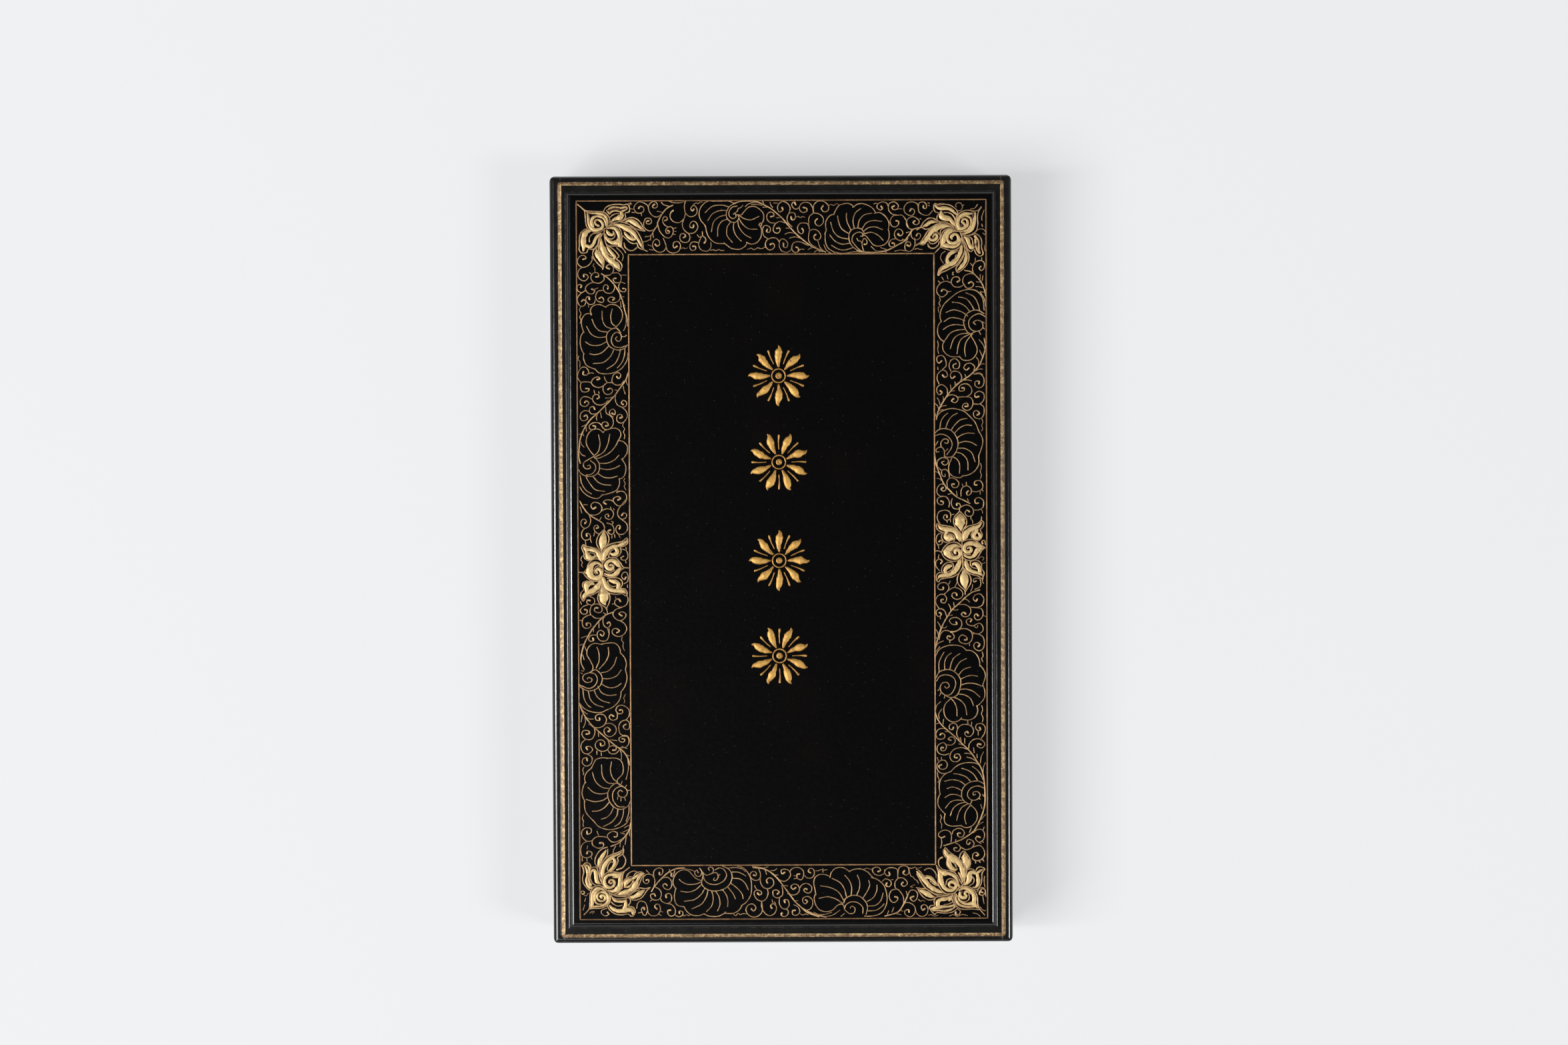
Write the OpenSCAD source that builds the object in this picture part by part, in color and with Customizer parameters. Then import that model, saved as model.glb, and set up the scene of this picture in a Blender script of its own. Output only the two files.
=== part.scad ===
// Lacquered wooden box for a set of ink sticks, in millimetres.
// The lid lifts straight off a lip that stands inside the base.
// X is the width, Y the length and Z is up; the origin is the middle of the underside.

/* [Box] */
// Outside width
box_w = 150; // [130:1:200]
// Outside length
box_l = 250; // [230:1:340]
// Thickness of the walls of the lid and of the base
wall_t = 5.5; // [4.5:0.1:8]
// Radius of the four upright outside corners
corner_r = 2; // [1.8:0.1:4]

/* [Lid] */
// Height of the lid walls, from the parting line to the ledge
lid_h = 15; // [13:0.5:25]
// Radius of the rounded upper edge of the lid
lid_edge_r = 1.5; // [0.4:0.1:1.7]
// Width of wall that is left outside the top board
lid_rim_w = 2.6; // [1.8:0.1:3.2]
// Thickness of the top board
top_board_t = 4.5; // [3:0.1:6]
// Thickness of the padded silk lining under the top board
lid_lining_t = 2.5; // [1:0.1:3]

/* [Raised panel] */
// Ledge that is left between the outside of the lid and the foot of the panel
panel_margin = 5; // [3:0.1:9]
// Upright fillet at the foot of the panel
panel_foot = 0.3; // [0.2:0.1:1]
// Radius of the hollow of the moulded edge
panel_cove_r = 0.7; // [0.3:0.1:2]
// Upright step between the hollow and the round
panel_step = 0.3; // [0.1:0.1:1]
// Radius of the round of the moulded edge
panel_round_r = 1.2; // [0.4:0.1:3]

/* [Base] */
// Height of the base walls, from the underside to the parting line
base_h = 20.5; // [20:0.5:35]
// Radius of the rounded lower edge of the base
base_edge_r = 0.8; // [0.4:0.1:1.6]
// Width of wall that is left outside the bottom board
base_rim_w = 2.6; // [1.8:0.1:3.2]
// Thickness of the bottom board
bottom_board_t = 5; // [3:0.1:6]

/* [Lip] */
// Thickness of the four strips of the lip
lip_t = 2.5; // [1.5:0.1:4]
// Height of the lip above the parting line
lip_rise = 5.5; // [3:0.1:7]
// Gap all round between the lip and the lid walls
lip_clearance = 0.3; // [0.2:0.05:0.6]
// Bevel on the outer upper edge of the lip, which leads the lid on
lip_bevel = 0.8; // [0.3:0.1:1]

/* [Corner joints] */
// Depth of the lap in a long wall that takes the end of a short wall
lap_d = 2; // [1:0.1:2.5]
// Diameter of the hidden dowels
dowel_d = 2; // [1.5:0.1:2.5]
// Depth of a dowel in the end of a short wall
dowel_l = 8; // [5:0.5:15]
// Wood that is left between a dowel and the outside of a long wall
dowel_cover = 1.3; // [0.8:0.1:1.4]
// Gap all round a dowel, filled with glue
dowel_gap = 0.05; // [0.02:0.01:0.1]
// Dowels in each corner of the base
base_dowel_rows = 2; // [1:1:3]

/* [Fitted interior] */
// Number of ink stick recesses
stick_count = 5; // [3:1:6]
// Length of a recess, across the box
stick_l = 112; // [90:1:118]
// Width of a recess, along the box
stick_w = 32; // [20:1:34]
// Height of the silk-wrapped strips round the recesses
strip_h = 13; // [8:0.5:14]
// Radius of the upper edges of the strips
strip_edge_r = 1; // [0.3:0.1:2]
// Gap between the strips and the lip, taken up by the silk
strip_gap = 0.2; // [0.1:0.05:0.5]
// Thickness of the padded silk floor of a recess
pad_t = 3; // [1:0.1:5]
// Gap all round a pad
pad_gap = 0.3; // [0.2:0.05:1]

/* [Hidden] */
$fn = 96;
eps = 0.01;
// Colours
lacquer_black = [0.03, 0.03, 0.035];
dowel_tan = [0.72, 0.58, 0.36];
silk_gold = [0.80, 0.64, 0.30];
pad_gold = [0.86, 0.72, 0.40];
// Levels above the underside
lid_top = base_h + lid_h;
board_z = lid_top - top_board_t;
lining_z = board_z - lid_lining_t;
lip_top = base_h + lip_rise;
// Space inside the walls, and inside the lip
in_w = box_w - 2 * wall_t;
in_l = box_l - 2 * wall_t;
well_w = in_w - 2 * lip_t;
well_l = in_l - 2 * lip_t;
// Raised panel
panel_w = box_w - 2 * panel_margin;
panel_l = box_l - 2 * panel_margin;
panel_rise = panel_foot + panel_cove_r + panel_step + panel_round_r;
// Dowels run from inside the long wall into the end of the short wall
dowel_x0 = box_w / 2 - dowel_cover;
dowel_x1 = box_w / 2 - wall_t + lap_d - dowel_l;
dowel_y = box_l / 2 - wall_t / 2;
lid_dowel_z = [(base_h + board_z) / 2];
base_dowel_pitch = (base_h - bottom_board_t) / base_dowel_rows;
base_dowel_z = [for (i = [0:base_dowel_rows - 1]) bottom_board_t + (i + 0.5) * base_dowel_pitch];
// Strips and recesses
rail_w = (well_w - stick_l) / 2 - strip_gap;
rail_l = well_l - 2 * strip_gap;
divider_w = (rail_l - stick_count * stick_w) / (stick_count + 1);
stick_pitch = stick_w + divider_w;

function divider_y(i) = -rail_l / 2 + divider_w / 2 + i * stick_pitch;
function recess_y(i) = divider_y(i) + stick_pitch / 2;

// A flat section drawn in X and Z, run along Y and centred
module run_along_y(length) {
    rotate([90, 0, 0])
        linear_extrude(height = length, center = true)
            children();
}

// A flat section drawn in Y and Z, run along X and centred
module run_along_x(length) {
    rotate([90, 0, 90])
        linear_extrude(height = length, center = true)
            children();
}

// A block centred on the Z axis that stands on level z0
module centred_block(w, l, z0, h) {
    translate([-w / 2, -l / 2, z0])
        cube([w, l, h]);
}

// A rectangle with rounded corners
module rounded_rectangle(w, l, r) {
    square([w - 2 * r, l], center = true);
    square([w, l - 2 * r], center = true);
    for (x = [-1, 1], y = [-1, 1])
        translate([x * (w / 2 - r), y * (l / 2 - r)])
            circle(r);
}

// The waste outside a quarter round of radius r whose centre is at the origin
module round_waste(r) {
    difference() {
        square(r + eps);
        circle(r);
    }
}

// Section of the lid walls: a band with rounded upper corners
module lid_section(width) {
    difference() {
        translate([-width / 2, base_h])
            square([width, lid_h]);
        for (side = [0, 1])
            mirror([side, 0])
                translate([width / 2 - lid_edge_r, lid_top - lid_edge_r])
                    round_waste(lid_edge_r);
    }
}

// Section of the base walls: a band with rounded lower corners
module base_section(width) {
    difference() {
        translate([-width / 2, 0])
            square([width, base_h]);
        for (side = [0, 1])
            mirror([side, 0])
                translate([width / 2 - base_edge_r, base_edge_r])
                    mirror([0, 1])
                        round_waste(base_edge_r);
    }
}

// Section of the raised panel: foot, hollow, step and round on both edges
module panel_section(width) {
    neck = width / 2 - panel_cove_r;
    cove_top = lid_top + panel_foot + panel_cove_r;
    round_z = cove_top + panel_step;
    difference() {
        translate([-width / 2, lid_top])
            square([width, panel_rise]);
        for (side = [0, 1])
            mirror([side, 0]) {
                translate([width / 2, cove_top])
                    circle(panel_cove_r);
                translate([neck, cove_top - eps])
                    square([panel_cove_r + eps, panel_rise]);
                translate([neck - panel_round_r, round_z])
                    round_waste(panel_round_r);
            }
    }
}

// Section of the lip: glued to the base wall below, eased to clear the lid above
module lip_section(width) {
    eased = width / 2 - lip_clearance;
    polygon([
        [-width / 2, bottom_board_t],
        [width / 2, bottom_board_t],
        [width / 2, base_h],
        [eased, base_h],
        [eased, lip_top - lip_bevel],
        [eased - lip_bevel, lip_top],
        [-eased + lip_bevel, lip_top],
        [-eased, lip_top - lip_bevel],
        [-eased, base_h],
        [-width / 2, base_h]
    ]);
}

// Section of a silk-wrapped strip with soft upper edges
module strip_section(width) {
    difference() {
        translate([-width / 2, bottom_board_t])
            square([width, strip_h]);
        for (side = [0, 1])
            mirror([side, 0])
                translate([width / 2 - strip_edge_r, bottom_board_t + strip_h - strip_edge_r])
                    round_waste(strip_edge_r);
    }
}

// Ground plan of a long wall, with a lap at each end; side is -1 left, 1 right
module long_wall_plan(side) {
    difference() {
        translate([side * (box_w - wall_t) / 2, 0])
            square([wall_t, box_l], center = true);
        for (end = [-1, 1])
            short_wall_plan(end);
    }
}

// Ground plan of a short wall, whose ends reach into the laps; end is -1 front, 1 back
module short_wall_plan(end) {
    translate([0, end * (box_l - wall_t) / 2])
        square([in_w + 2 * lap_d, wall_t], center = true);
}

// Cylinders for the dowels at the given levels, grown by a gap all round
module dowel_set(levels, gap) {
    for (z = levels, side = [0, 1], end = [-1, 1])
        mirror([side, 0, 0])
            translate([dowel_x1 - gap, end * dowel_y, z])
                rotate([0, 90, 0])
                    cylinder(d = dowel_d + 2 * gap, h = dowel_x0 - dowel_x1 + 2 * gap);
}

// One lid wall, cut from the lid ring by the ground plan that is its child
module lid_wall() {
    color(lacquer_black)
        difference() {
            intersection() {
                run_along_y(box_l)
                    lid_section(box_w);
                run_along_x(box_w)
                    lid_section(box_l);
                translate([0, 0, base_h])
                    linear_extrude(height = lid_h)
                        rounded_rectangle(box_w, box_l, corner_r);
                translate([0, 0, base_h])
                    linear_extrude(height = lid_h)
                        children();
            }
            centred_block(box_w - 2 * lid_rim_w, box_l - 2 * lid_rim_w, board_z, top_board_t + eps);
            dowel_set(lid_dowel_z, dowel_gap);
        }
}

// One base wall, cut from the base ring by the ground plan that is its child
module base_wall() {
    color(lacquer_black)
        difference() {
            intersection() {
                run_along_y(box_l)
                    base_section(box_w);
                run_along_x(box_w)
                    base_section(box_l);
                linear_extrude(height = base_h)
                    rounded_rectangle(box_w, box_l, corner_r);
                linear_extrude(height = base_h)
                    children();
            }
            centred_block(box_w - 2 * base_rim_w, box_l - 2 * base_rim_w, -eps, bottom_board_t + eps);
            dowel_set(base_dowel_z, dowel_gap);
        }
}

// The solid that the lip ring is cut from, mitred at the corners
module lip_block() {
    intersection() {
        run_along_y(in_l)
            lip_section(in_w);
        run_along_x(in_w)
            lip_section(in_l);
    }
}

module lid_raised_panel() {
    color(lacquer_black)
        intersection() {
            run_along_y(panel_l)
                panel_section(panel_w);
            run_along_x(panel_w)
                panel_section(panel_l);
        }
}

module lid_top_board() {
    color(lacquer_black)
        centred_block(box_w - 2 * lid_rim_w, box_l - 2 * lid_rim_w, board_z, top_board_t);
}

module lid_lining() {
    color(pad_gold)
        centred_block(in_w - 2 * pad_gap, in_l - 2 * pad_gap, lining_z, lid_lining_t);
}

module lid_dowels() {
    color(dowel_tan)
        dowel_set(lid_dowel_z, 0);
}

module lid_wall_left() {
    lid_wall()
        long_wall_plan(-1);
}

module lid_wall_right() {
    lid_wall()
        long_wall_plan(1);
}

module lid_wall_front() {
    lid_wall()
        short_wall_plan(-1);
}

module lid_wall_back() {
    lid_wall()
        short_wall_plan(1);
}

module base_wall_left() {
    base_wall()
        long_wall_plan(-1);
}

module base_wall_right() {
    base_wall()
        long_wall_plan(1);
}

module base_wall_front() {
    base_wall()
        short_wall_plan(-1);
}

module base_wall_back() {
    base_wall()
        short_wall_plan(1);
}

module base_bottom_board() {
    color(lacquer_black)
        centred_block(box_w - 2 * base_rim_w, box_l - 2 * base_rim_w, 0, bottom_board_t);
}

module base_dowels() {
    color(dowel_tan)
        dowel_set(base_dowel_z, 0);
}

// A long strip of the lip runs the whole inside length
module lip_long(side) {
    color(lacquer_black)
        intersection() {
            lip_block();
            translate([side * (in_w - lip_t) / 2, 0, 0])
                centred_block(lip_t, in_l, bottom_board_t, lip_top);
        }
}

// A short strip of the lip fits between the long ones
module lip_short(end) {
    color(lacquer_black)
        intersection() {
            lip_block();
            translate([0, end * (in_l - lip_t) / 2, 0])
                centred_block(well_w, lip_t, bottom_board_t, lip_top);
        }
}

module lip_left() {
    lip_long(-1);
}

module lip_right() {
    lip_long(1);
}

module lip_front() {
    lip_short(-1);
}

module lip_back() {
    lip_short(1);
}

module tray_rail(side) {
    color(silk_gold)
        translate([side * (stick_l + rail_w) / 2, 0, 0])
            run_along_y(rail_l)
                strip_section(rail_w);
}

module tray_rail_left() {
    tray_rail(-1);
}

module tray_rail_right() {
    tray_rail(1);
}

module tray_divider(i) {
    color(silk_gold)
        translate([0, divider_y(i), 0])
            run_along_x(stick_l)
                strip_section(divider_w);
}

module stick_pad(i) {
    color(pad_gold)
        translate([0, recess_y(i), 0])
            centred_block(stick_l - 2 * pad_gap, stick_w - 2 * pad_gap, bottom_board_t, pad_t);
}

lid_raised_panel();
lid_top_board();
lid_lining();
lid_dowels();
lid_wall_left();
lid_wall_right();
lid_wall_front();
lid_wall_back();
base_wall_left();
base_wall_right();
base_wall_front();
base_wall_back();
base_bottom_board();
base_dowels();
lip_left();
lip_right();
lip_front();
lip_back();
tray_rail_left();
tray_rail_right();
for (i = [0:stick_count])
    tray_divider(i);
for (i = [0:stick_count - 1])
    stick_pad(i);
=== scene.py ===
# %% [markdown]
# A flat lacquer box for ink sticks: black lacquer, a raised panel on the lid with a painted gold
# border, and silk inside. The CAD model gives every board, lip and dowel. This lesson adds the
# looks around that fixed frame: lacquer, gold work and soft silk pieces.

# %% Load the frame
import math
from itertools import accumulate

import bpy
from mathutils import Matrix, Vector, noise


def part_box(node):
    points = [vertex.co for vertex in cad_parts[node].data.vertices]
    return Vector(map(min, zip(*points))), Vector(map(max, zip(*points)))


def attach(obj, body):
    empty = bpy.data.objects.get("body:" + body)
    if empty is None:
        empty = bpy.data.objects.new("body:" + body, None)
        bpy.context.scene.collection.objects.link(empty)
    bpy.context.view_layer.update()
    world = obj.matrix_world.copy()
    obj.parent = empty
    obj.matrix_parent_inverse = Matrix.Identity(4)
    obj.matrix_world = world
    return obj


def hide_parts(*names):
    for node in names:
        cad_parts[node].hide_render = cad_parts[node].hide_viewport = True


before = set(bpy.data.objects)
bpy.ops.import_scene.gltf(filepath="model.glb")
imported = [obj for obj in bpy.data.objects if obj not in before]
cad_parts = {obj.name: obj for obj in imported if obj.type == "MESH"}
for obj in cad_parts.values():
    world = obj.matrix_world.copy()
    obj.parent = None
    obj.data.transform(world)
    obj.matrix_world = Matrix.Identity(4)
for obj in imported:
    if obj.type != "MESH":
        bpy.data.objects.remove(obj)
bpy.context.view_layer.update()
MM = 0.001


# %% [markdown]
# The photograph looks straight down on the closed lid from about 1.2 m, with a long lens and a tilt
# of under two degrees. The place and turn below put the lid's four corners where the photograph
# has them.

# %% Camera
CAMERA_PLACE = (0.0026, 0.0478, 1.2393)
CAMERA_TURN = (-1.69, 0.08, -0.23)  # degrees about x, y and z
lens_data = bpy.data.cameras.new("photo_lens")
lens_data.lens = 85
lens_data.sensor_width = 36
lens_data.clip_start = 0.05
camera = bpy.data.objects.new("photo_camera", lens_data)
bpy.context.scene.collection.objects.link(camera)
camera.location = CAMERA_PLACE
camera.rotation_euler = [math.radians(angle) for angle in CAMERA_TURN]
bpy.context.scene.camera = camera
bpy.context.scene.view_settings.view_transform = "Standard"
print("camera", round(camera.location.z, 2), "m above the table")


# %% [markdown]
# The box lies on a white sweep. The background is so even that its shadows look lifted. Stronger
# lamps would wash out the box, so the floor shows part of its own pale colour unlit, to the camera
# and in reflections, and only the rest of it takes shadow.

# %% Floor
PALE = (0.945, 0.955, 0.973, 1)
UNLIT_SHARE = 0.56
FLOOR_SIZE = 12
FLOOR_DROP = 0.2 * MM


def fresh_material(name):
    """A new node material; returns it with its node and link lists, emptied."""
    made = bpy.data.materials.new(name)
    made.use_nodes = True
    made.node_tree.nodes.clear()
    return made, made.node_tree.nodes, made.node_tree.links


def show_surface(nodes, links, shader):
    """Send a shader to the surface of its material."""
    out = nodes.new("ShaderNodeOutputMaterial")
    links.new(shader.outputs[0], out.inputs["Surface"])


def math_node(nodes, links, operation, a, b):
    """A Math node; a and b are sockets or plain numbers."""
    node = nodes.new("ShaderNodeMath")
    node.operation = operation
    for slot, value in enumerate((a, b)):
        if isinstance(value, (int, float)):
            node.inputs[slot].default_value = value
        else:
            links.new(value, node.inputs[slot])
    return node.outputs[0]


floor_finish, n, link = fresh_material("pale_floor")
paper = n.new("ShaderNodeBsdfDiffuse")
paper.inputs["Color"].default_value = PALE
glow = n.new("ShaderNodeEmission")
glow.inputs["Color"].default_value = PALE
lifted = n.new("ShaderNodeMixShader")
lifted.inputs["Fac"].default_value = UNLIT_SHARE
link.new(paper.outputs[0], lifted.inputs[1])
link.new(glow.outputs[0], lifted.inputs[2])
rays = n.new("ShaderNodeLightPath").outputs
mirrored = math_node(n, link, "MAXIMUM", rays["Is Glossy Ray"], rays["Is Transmission Ray"])
visible = math_node(n, link, "MAXIMUM", rays["Is Camera Ray"], mirrored)
seen = n.new("ShaderNodeMixShader")
link.new(visible, seen.inputs["Fac"])
link.new(paper.outputs[0], seen.inputs[1])
link.new(lifted.outputs[0], seen.inputs[2])
show_surface(n, link, seen)

bpy.ops.object.select_all(action="DESELECT")
bpy.ops.mesh.primitive_plane_add(size=FLOOR_SIZE, location=(0, 0, -FLOOR_DROP))
floor = bpy.context.object
floor.name = "floor"
floor.data.materials.append(floor_finish)
print("floor", FLOOR_SIZE, "m wide")


# %% [markdown]
# A large softbox stands on the left, in front of the lid's middle, so the upper part of the left
# moulding stays dark, and a narrow strip at its end puts a bright glint halfway down. A weaker
# softbox on the right and a wide soft lamp in front add the rest. Straight above it is dark,
# because a glossy black lid seen from above mirrors the ceiling.

# %% Lamps
def add_sun(name, strength, angle, height, azimuth):
    """A wide soft lamp that shines from a compass azimuth (0 = right of the picture) and height."""
    lamp = bpy.data.lights.new(name, "SUN")
    lamp.energy = strength
    lamp.angle = math.radians(angle)
    holder = bpy.data.objects.new(name, lamp)
    bpy.context.scene.collection.objects.link(holder)
    a, e = math.radians(azimuth), math.radians(height)
    towards = Vector((math.cos(a) * math.cos(e), math.sin(a) * math.cos(e), math.sin(e)))
    holder.rotation_euler = towards.to_track_quat("Z", "Y").to_euler()


def add_softbox(name, power, place, width, height):
    """A rectangular lamp that faces the box."""
    lamp = bpy.data.lights.new(name, "AREA")
    lamp.shape = "RECTANGLE"
    lamp.size = width
    lamp.size_y = height
    lamp.energy = power
    stand = bpy.data.objects.new(name, lamp)
    bpy.context.scene.collection.objects.link(stand)
    stand.location = place
    stand.rotation_euler = stand.location.to_track_quat("Z", "Y").to_euler()


add_sun("front_light", strength=0.2, angle=24, height=66, azimuth=236)
add_softbox("left_softbox", power=46, place=(-1.7, -0.78, 2.6), width=1.44, height=1.7)
add_softbox("left_strip", power=20, place=(-1.7, -0.17, 2.6), width=0.24, height=1.7)
add_softbox("right_softbox", power=20, place=(1.7, -0.6, 2.6), width=0.64, height=0.9)

# %% Surroundings
# Grey by the upward part of the direction, from the horizon to high above
SURROUNDINGS = ((0.0, 0.4), (0.08, 0.34), (0.2, 0.18), (0.85, 0.012))
BLUE_LIFT = 1.03
world = bpy.data.worlds.new("studio")
bpy.context.scene.world = world
world.use_nodes = True
n, link = world.node_tree.nodes, world.node_tree.links
n.clear()
where = n.new("ShaderNodeTexCoord")
split = n.new("ShaderNodeSeparateXYZ")
ramp = n.new("ShaderNodeValToRGB")
stops = ramp.color_ramp.elements
for position, grey in SURROUNDINGS:
    stop = stops.new(position)
    stop.color = (grey, grey, grey * BLUE_LIFT, 1)
# A new ramp has a black and a white stop of its own at its ends
stops.remove(stops[0])
stops.remove(stops[-1])
around = n.new("ShaderNodeBackground")
out = n.new("ShaderNodeOutputWorld")
link.new(where.outputs["Generated"], split.inputs[0])
link.new(split.outputs["Z"], ramp.inputs["Fac"])
link.new(ramp.outputs["Color"], around.inputs["Color"])
link.new(around.outputs[0], out.inputs["Surface"])
print("surroundings:", len(stops), "greys")


# %% [markdown]
# Dust and edge wear are node groups with their own inputs, so that any finish can take them with
# its own values. Dust is a scatter of tiny specks from a cell pattern whose cells keep only a small
# round core, and each cell's own colour decides by lot which cores show. Edge wear compares the true
# normal with a rounded one: they differ only along an arris.

# %% Node groups: dust and edge wear
SPECK_CORE = 0.12
BEVEL_SAMPLES = 6
WEAR_GAIN = 9.0
PATCH_LEVEL = 0.47
PATCH_GAIN = 6.0


def new_group(name, inputs, outputs):
    """An empty shader node group with float inputs {name: value} and outputs {name: type}."""
    group = bpy.data.node_groups.new(name, "ShaderNodeTree")
    for label, value in inputs.items():
        socket = group.interface.new_socket(label, in_out="INPUT", socket_type="NodeSocketFloat")
        socket.default_value = value
    for label, kind in outputs.items():
        group.interface.new_socket(label, in_out="OUTPUT", socket_type=kind)
    given = group.nodes.new("NodeGroupInput")
    result = group.nodes.new("NodeGroupOutput")
    return group, group.nodes, group.links, given, result


dust_group, n, link, given, result = new_group(
    "dust_specks", {"Spacing": 900.0, "Amount": 0.5}, {"Specks": "NodeSocketFloat"})
place = n.new("ShaderNodeTexCoord").outputs["Object"]
cells = n.new("ShaderNodeTexVoronoi")
link.new(place, cells.inputs["Vector"])
link.new(given.outputs["Spacing"], cells.inputs["Scale"])
core = math_node(n, link, "LESS_THAN", cells.outputs["Distance"], SPECK_CORE)
lottery = n.new("ShaderNodeSeparateColor")
link.new(cells.outputs["Color"], lottery.inputs[0])
kept = math_node(n, link, "LESS_THAN", lottery.outputs[0], given.outputs["Amount"])
link.new(math_node(n, link, "MULTIPLY", core, kept), result.inputs["Specks"])

wear_group, n, link, given, result = new_group(
    "edge_wear", {"Reach": 0.6 * MM, "Breakup": 700.0}, {"Wear": "NodeSocketFloat"})
rounded = n.new("ShaderNodeBevel")
rounded.samples = BEVEL_SAMPLES
link.new(given.outputs["Reach"], rounded.inputs["Radius"])
facets = n.new("ShaderNodeNewGeometry")
dot = n.new("ShaderNodeVectorMath")
dot.operation = "DOT_PRODUCT"
link.new(rounded.outputs["Normal"], dot.inputs[0])
link.new(facets.outputs["Normal"], dot.inputs[1])
place = n.new("ShaderNodeTexCoord").outputs["Object"]
breakup = n.new("ShaderNodeTexNoise")
breakup.inputs["Detail"].default_value = 4
link.new(place, breakup.inputs["Vector"])
link.new(given.outputs["Breakup"], breakup.inputs["Scale"])
bent = math_node(n, link, "SUBTRACT", 1.0, dot.outputs["Value"])
bent = math_node(n, link, "MULTIPLY", bent, WEAR_GAIN)
patchy = math_node(n, link, "SUBTRACT", breakup.outputs["Fac"], PATCH_LEVEL)
patchy = math_node(n, link, "MULTIPLY", patchy, PATCH_GAIN)
clamp = n.new("ShaderNodeClamp")
link.new(math_node(n, link, "MULTIPLY", bent, patchy), clamp.inputs["Value"])
link.new(clamp.outputs[0], result.inputs["Wear"])
print("groups:", dust_group.name, wear_group.name)


# %% [markdown]
# The lacquer is many coats of black, rubbed to a gloss. Close up it isn't one colour: faint brown
# clouds show where the coats are thin, the gloss is uneven, dust lies on it, and the arrises are
# rubbed to a dull brown. The mouldings and the ledge are a little rougher than the panel's top, and
# their black is lifted to grey, a painted sheen, told apart by height. A Principled shader takes
# all this as colour, roughness and a slight bump. A Bevel node softens its normal along the
# arrises, where thick lacquer rounds every edge. The helpers come first.

# %% Helpers for finishes
def mix_colour(nodes, links, factor, a, b):
    """A colour Mix node between two colours or sockets."""
    node = nodes.new("ShaderNodeMix")
    node.data_type = "RGBA"
    sockets = [s for s in node.inputs if s.enabled]
    for socket, value in zip(sockets, (factor, a, b)):
        if isinstance(value, bpy.types.NodeSocket):
            links.new(value, socket)
        else:
            socket.default_value = value
    return [s for s in node.outputs if s.enabled][0]


def noise_node(nodes, links, vector, scale, detail=3.0, roughness=0.5):
    """A Noise texture on the given coordinates; on Object coordinates the scale is per metre."""
    node = nodes.new("ShaderNodeTexNoise")
    node.inputs["Scale"].default_value = scale
    node.inputs["Detail"].default_value = detail
    node.inputs["Roughness"].default_value = roughness
    links.new(vector, node.inputs["Vector"])
    return node.outputs["Fac"]


def stretch(nodes, links, value, low, high, to_low=0.0, to_high=1.0):
    """Map Range of a value, clamped."""
    node = nodes.new("ShaderNodeMapRange")
    links.new(value, node.inputs["Value"])
    ends = {"From Min": low, "From Max": high, "To Min": to_low, "To Max": to_high}
    for label, number in ends.items():
        node.inputs[label].default_value = number
    return node.outputs["Result"]


def place_group(nodes, group, **values):
    """A group node with its own input values."""
    node = nodes.new("ShaderNodeGroup")
    node.node_tree = group
    for label, number in values.items():
        node.inputs[label].default_value = number
    return node


def bump(nodes, links, height, strength, distance):
    """A Bump node that turns a height into a normal."""
    node = nodes.new("ShaderNodeBump")
    node.inputs["Strength"].default_value = strength
    node.inputs["Distance"].default_value = distance
    links.new(height, node.inputs["Height"])
    return node.outputs["Normal"]


# %% Lacquer
COAT_BLACK = (0.0021, 0.0020, 0.0021, 1)
COAT_BROWN = (0.0046, 0.0030, 0.0024, 1)
# Painted sheen: this grey lifts the black of the mouldings and the ledge, as if they caught the lamps
PAINTED_SHEEN_GREY = (0.016, 0.0158, 0.0149, 1)
DUST_GREY = (0.07, 0.07, 0.07, 1)
RUBBED_BROWN = (0.05, 0.036, 0.026, 1)
WORN_ROUGHNESS = 0.1
DULL_ROUGHNESS = 0.02
panel_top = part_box("lid_raised_panel")[1].z
ledge_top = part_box("lid_top_board")[1].z
lacquer, n, link = fresh_material("black_lacquer")
place = n.new("ShaderNodeTexCoord").outputs["Object"]
split = n.new("ShaderNodeSeparateXYZ")
link.new(place, split.inputs[0])
height = split.outputs["Z"]
under_panel = stretch(n, link, height, panel_top - 0.4 * MM, panel_top - 0.1 * MM, to_low=1, to_high=0)
over_sides = stretch(n, link, height, ledge_top - 2 * MM, ledge_top - 0.4 * MM)
dull_sheen_patches = stretch(n, link, noise_node(n, link, place, scale=260, detail=4), 0.3, 0.7, to_low=0.55)
# Mouldings and ledge, told apart by height: a rougher finish and a painted grey sheen
dull_and_sheen = math_node(n, link, "MULTIPLY", under_panel, over_sides)
dull_and_sheen = math_node(n, link, "MULTIPLY", dull_and_sheen, dull_sheen_patches)
clouds = stretch(n, link, noise_node(n, link, place, scale=38, detail=4), 0.5, 0.85)
dust = place_group(n, dust_group, Spacing=1150.0, Amount=0.08)
wear = place_group(n, wear_group, Reach=0.7 * MM, Breakup=520.0)
colour = mix_colour(n, link, clouds, COAT_BLACK, COAT_BROWN)
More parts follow.
